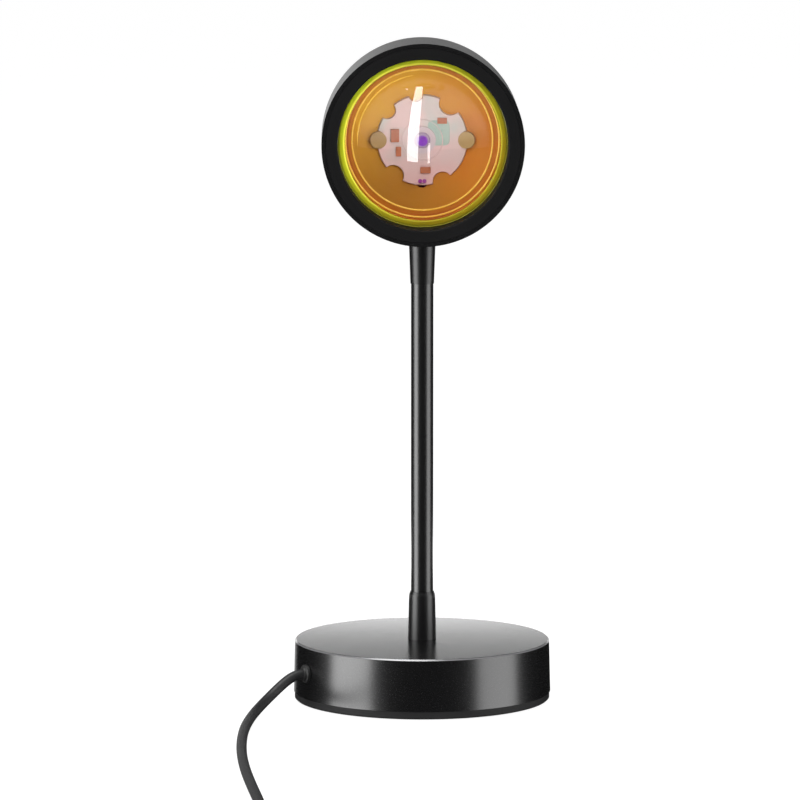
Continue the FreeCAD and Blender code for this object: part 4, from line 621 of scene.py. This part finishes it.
# soft parts of the casing, with broken edges; outlines of (radius, depth or height)
GASKET = [
    (0.0339, 0.01525), (0.03405, 0.0151), (0.03645, 0.0151), (0.0366, 0.01525),
    (0.0366, 0.01595), (0.03645, 0.0161), (0.03405, 0.0161), (0.0339, 0.01595),
]
own("gasket_ring", turned("gasket_ring", GASKET, 192, in_head), "gasket_black", "head", "lens_gasket")
FOAM = [
    (0.0, 0.0), (0.0442, 0.0), (0.0444, 0.0001), (0.0445, 0.0003),
    (0.0445, 0.0007), (0.0444, 0.0009), (0.0442, 0.001), (0.0, 0.001),
]
own("foot_foam_disc", turned("foot_foam_disc", FOAM, 192, upright), "foot_foam", "base", "base_foot_pad")
BUSH_SIDE = math.radians(206)
BUSH_WAY = (math.cos(BUSH_SIDE), math.sin(BUSH_SIDE))
BUSH_HEIGHT = 0.014
BUSH = [
    (0.002, 0.04805), (0.002, 0.0534), (0.0021, 0.05352), (0.0023, 0.05355), (0.00245, 0.0535),
    (0.00255, 0.05338), (0.0027, 0.05295), (0.0028, 0.05272), (0.0029, 0.05265), (0.0033, 0.05263),
    (0.0035, 0.05256), (0.00362, 0.05244), (0.00365, 0.05225), (0.00365, 0.05135), (0.003, 0.05135),
    (0.003, 0.04945), (0.00365, 0.04945), (0.00365, 0.04805),
]


def in_bush(across, up, out):
    """Out runs from the base's axis through the bush."""
    x = out * BUSH_WAY[0] - across * BUSH_WAY[1]
    y = out * BUSH_WAY[1] + across * BUSH_WAY[0]
    return (x, y, BUSH_HEIGHT + up)


own("cord_bush", turned("cord_bush", BUSH, 96, in_bush), "bush_black", "base", "cord_grommet")

# ------------------------------------------------------------------ cord

FLOOR = 0.00205
LEAD_ROUTE = [
    (-0.04813, -0.02348, 0.014), (-0.0505, -0.02464, 0.014), (-0.055, -0.0269, 0.0113),
    (-0.0604, -0.0304, 0.0066), (-0.065, -0.0386, 0.0033), (-0.0682, -0.054, FLOOR),
    (-0.0703, -0.078, FLOOR), (-0.0709, -0.104, FLOOR), (-0.0704, -0.131, FLOOR),
    (-0.0687, -0.16, FLOOR), (-0.066, -0.19, FLOOR), (-0.063, -0.219, FLOOR),
    (-0.061, -0.242, 0.0023), (-0.0601, -0.257, 0.0042), (-0.06, -0.267, 0.0055), (-0.06, -0.276, 0.0055),
]
TAIL_ROUTE = [
    (-0.06, -0.33, 0.0055), (-0.06, -0.3385, 0.0055), (-0.0562, -0.3498, 0.0034),
    (-0.0476, -0.3584, FLOOR), (-0.0356, -0.3624, FLOOR), (-0.023, -0.3606, FLOOR),
    (-0.0095, -0.3504, FLOOR),
]
END_ROUTE = [(0.0199, -0.33032, 0.00665), (0.02942, -0.32482, 0.004), (0.03808, -0.31982, 0.004)]
CORD_DIAMETER = 0.004
COIL_CENTRE = (-0.008, -0.31)
COIL_START = -60
COIL_RADIUS = 0.0342
COIL_STEP = 0.00265
COIL_LAYER = 0.0046
TURNS_IN = 7
TURNS_OUT = 6
PER_HALF_TURN = 12


def coil_points():
    """Spiral in on the floor, climb a layer in one half turn, spiral out on top."""
    inner = COIL_RADIUS - COIL_STEP * TURNS_IN
    spare = 1 / math.cos(math.pi / PER_HALF_TURN / 2)
    points = []
    for i in range(1, (TURNS_IN + 1 + TURNS_OUT) * PER_HALF_TURN):
        turn = i / PER_HALF_TURN
        climbed = min(max(turn - TURNS_IN, 0.0), 1.0)
        radius = inner + COIL_STEP * max(TURNS_IN - turn, turn - TURNS_IN - 1, 0.0)
        angle = math.radians(COIL_START + 180 * turn)
        x = COIL_CENTRE[0] + radius * spare * math.cos(angle)
        y = COIL_CENTRE[1] + radius * spare * math.sin(angle)
        points.append((x, y, FLOOR + COIL_LAYER * climbed))
    return points


def cord_curve(name, route):
    curve = bpy.data.curves.new(name, "CURVE")
    curve.dimensions = "3D"
    spline = curve.splines.new("NURBS")
    spline.points.add(len(route) - 1)
    for point, place in zip(spline.points, route):
        point.co = (*place, 1.0)
    spline.order_u = 3
    spline.use_endpoint_u = True
    spline.resolution_u = 8
    curve.bevel_depth = CORD_DIAMETER / 2
    curve.bevel_resolution = 6
    curve.use_fill_caps = True
    curve.materials.append(MATERIALS["cord_black"])
    made = bpy.data.objects.new(name, curve)
    bpy.context.scene.collection.objects.link(made)
    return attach(made, "base")


lead = cord_curve("cord_to_switch", LEAD_ROUTE)
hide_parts("cord_lead")
COILED = TAIL_ROUTE + [(0.0091, -0.33962, FLOOR)] + coil_points() + END_ROUTE
coiled = cord_curve("cord_to_plug", COILED)
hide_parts("cord_tail", "cord_coil", "cord_end")

# ------------------------------------------------------------------ stage, lights and camera

floor_mesh = bpy.data.meshes.new("floor")
FLOOR_REACH = 6.0
corners = [(-FLOOR_REACH, -FLOOR_REACH, 0), (FLOOR_REACH, -FLOOR_REACH, 0)]
corners += [(FLOOR_REACH, FLOOR_REACH, 0), (-FLOOR_REACH, FLOOR_REACH, 0)]
floor_mesh.from_pydata(corners, [], [(0, 1, 2, 3)])
floor = bpy.data.objects.new("floor", floor_mesh)
bpy.context.scene.collection.objects.link(floor)
t = Tree("floor_white")
FLOOR_SHARE = 0.75
matt = t.add("BsdfDiffuse", Color=(0.84, 0.84, 0.84, 1))
glow = t.add("Emission", Color=(1, 1, 1, 1), Strength=1.2)
mix = t.add("MixShader")
t.links.new(t.math("MULTIPLY", t.add("LightPath").outputs["Is Camera Ray"], FLOOR_SHARE), mix.inputs[0])
t.links.new(matt.outputs[0], mix.inputs[1])
t.links.new(glow.outputs[0], mix.inputs[2])
t.links.new(mix.outputs[0], t.out.inputs["Surface"])
floor_mesh.materials.append(t.material)
floor.visible_glossy = False


class Sky:
    """The studio round the lamp: white to the camera, plain to matt surfaces, dark with a
    pale wall behind to shiny ones."""

    def __init__(self):
        self.world = bpy.data.worlds.new("studio")
        self.world.use_nodes = True
        self.nodes = self.world.node_tree.nodes
        self.links = self.world.node_tree.links
        self.nodes.clear()

    def span(self, value, low, high, start, end):
        node = self.nodes.new("ShaderNodeMapRange")
        for name, number in (("From Min", start), ("From Max", end), ("To Min", low), ("To Max", high)):
            node.inputs[name].default_value = number
        self.links.new(value, node.inputs["Value"])
        return node.outputs["Result"]

    def times(self, first, second):
        node = self.nodes.new("ShaderNodeMath")
        node.operation = "MULTIPLY"
        self.links.new(first, node.inputs[0])
        self.links.new(second, node.inputs[1])
        return node.outputs[0]

    def pick(self, factor, otherwise, then):
        node = self.nodes.new("ShaderNodeMix")
        node.data_type = "FLOAT"
        self.links.new(factor, node.inputs[0])
        for socket, value in ((node.inputs[2], otherwise), (node.inputs[3], then)):
            if isinstance(value, bpy.types.NodeSocket):
                self.links.new(value, socket)
            else:
                socket.default_value = value
        return node.outputs[0]


sky = Sky()
split = sky.nodes.new("ShaderNodeSeparateXYZ")
sky.links.new(sky.nodes.new("ShaderNodeTexCoord").outputs["Generated"], split.inputs[0])
PALE_WALL = 1.7
DARK_ROOM = 0.012
MATT_LEVEL = 0.45
turned_left = sky.nodes.new("ShaderNodeMath")
turned_left.operation = "MULTIPLY_ADD"
turned_left.inputs[1].default_value = -0.12
sky.links.new(split.outputs["X"], turned_left.inputs[0])
sky.links.new(split.outputs["Y"], turned_left.inputs[2])
wall = sky.span(turned_left.outputs[0], 0.0, PALE_WALL, 0.965, 1.0)
low_down = sky.span(split.outputs["Z"], 1.0, 0.12, 0.08, 0.17)
wall = sky.span(sky.times(wall, low_down), DARK_ROOM, 1.0, 0.0, 1.0)
path = sky.nodes.new("ShaderNodeLightPath")
level = sky.pick(path.outputs["Is Glossy Ray"], MATT_LEVEL, wall)
level = sky.pick(path.outputs["Is Camera Ray"], level, 1.0)
plain = sky.nodes.new("ShaderNodeBackground")
plain.inputs["Color"].default_value = (1, 1, 1, 1)
sky.links.new(level, plain.inputs["Strength"])
sky.links.new(plain.outputs[0], sky.nodes.new("ShaderNodeOutputWorld").inputs["Surface"])
sky.world.cycles.sampling_method = "NONE"
bpy.context.scene.world = sky.world


def softbox(name, place, aim, size, power, only=(), never=(), roll=0.0):
    """A flat lamp that looks at a point; it may light only some pieces, or leave some out."""
    data = bpy.data.lights.new(name, "AREA")
    data.shape = "RECTANGLE"
    data.size, data.size_y = size
    data.energy = power
    made = bpy.data.objects.new(name, data)
    bpy.context.scene.collection.objects.link(made)
    made.location = place
    facing = (Vector(aim) - Vector(place)).to_track_quat("-Z", "Y")
    made.rotation_euler = (facing @ Quaternion((0, 0, 1), math.radians(roll))).to_euler()
    made.visible_camera = False
    made.visible_transmission = False
    if only or never:
        group = bpy.data.collections.new(name)
        for piece in only or never:
            group.objects.link(piece)
        made.light_linking.receiver_collection = group
        for state in group.collection_objects:
            state.light_linking.link_state = "INCLUDE" if only else "EXCLUDE"
    return made


def without_floor(lamp):
    """The floor casts no shadow for a lamp that reaches below it."""
    group = bpy.data.collections.new(lamp.name + "_blockers")
    group.objects.link(floor)
    lamp.light_linking.blocker_collection = group
    group.collection_objects[0].light_linking.link_state = "EXCLUDE"


SIDE_HEIGHT = 0.1
# each side's name, place, power on shiny surfaces and power on matt ones
SIDES = (("left", (-1.04, -0.44, SIDE_HEIGHT), 22, 9), ("right", (1.05, -0.38, SIDE_HEIGHT), 13, 8))
for name, place, shine, light in SIDES:
    middle = (0, 0, SIDE_HEIGHT)
    strip = softbox("shine_" + name, place, middle, (0.85, 1.5), shine, never=(glass, floor))
    strip.visible_diffuse = False
    without_floor(strip)
    softbox("light_" + name, place, middle, (0.5, 1.2), light).visible_glossy = False
REAR = (NODES["head_rear_cover"], NODES["rear_cover_screws"])
rear = softbox("rear", (-0.6, 1.1, 0.05), (0, 0, HEAD_HEIGHT), (0.9, 0.8), 1.6, only=REAR)
without_floor(rear)
softbox("fill", (0.15, -1.9, 0.8), (0, 0, 0.15), (1.0, 1.0), 30).visible_glossy = False
softbox("above", (-0.25, -0.2, 1.3), (0, 0, 0.1), (0.7, 0.7), 13)
low = softbox("behind", (0, 0.125, 0.036), (0, 0, 0.028), (0.3, 0.016), 0.034, never=(glass, floor))
low.visible_diffuse = False
softbox("window", (-0.045, -0.48, 0.89), (-0.045, 0, 0.89), (0.1, 1.72), 8, only=(glass,), roll=-3.2)
softbox("glint", (0.047, -0.4, 0.13), (0.047, 0, 0.13), (0.018, 0.16), 0.1, only=(glass,))

# The camera stands where the photograph was taken from.
LENS_MM = 272.8
CAMERA_PLACE = (-0.03351, -2.39977, 0.4335)
PITCH_DOWN = 7.423
HEADING = -0.589
camera_data = bpy.data.cameras.new("camera")
camera_data.lens = LENS_MM
camera_data.sensor_width = 36
camera_data.clip_end = 50
camera = bpy.data.objects.new("camera", camera_data)
bpy.context.scene.collection.objects.link(camera)
camera.location = CAMERA_PLACE
camera.rotation_euler = (math.radians(90 - PITCH_DOWN), 0, math.radians(HEADING))
bpy.context.scene.camera = camera
bpy.context.scene.view_settings.view_transform = "Standard"

bpy.context.view_layer.update()
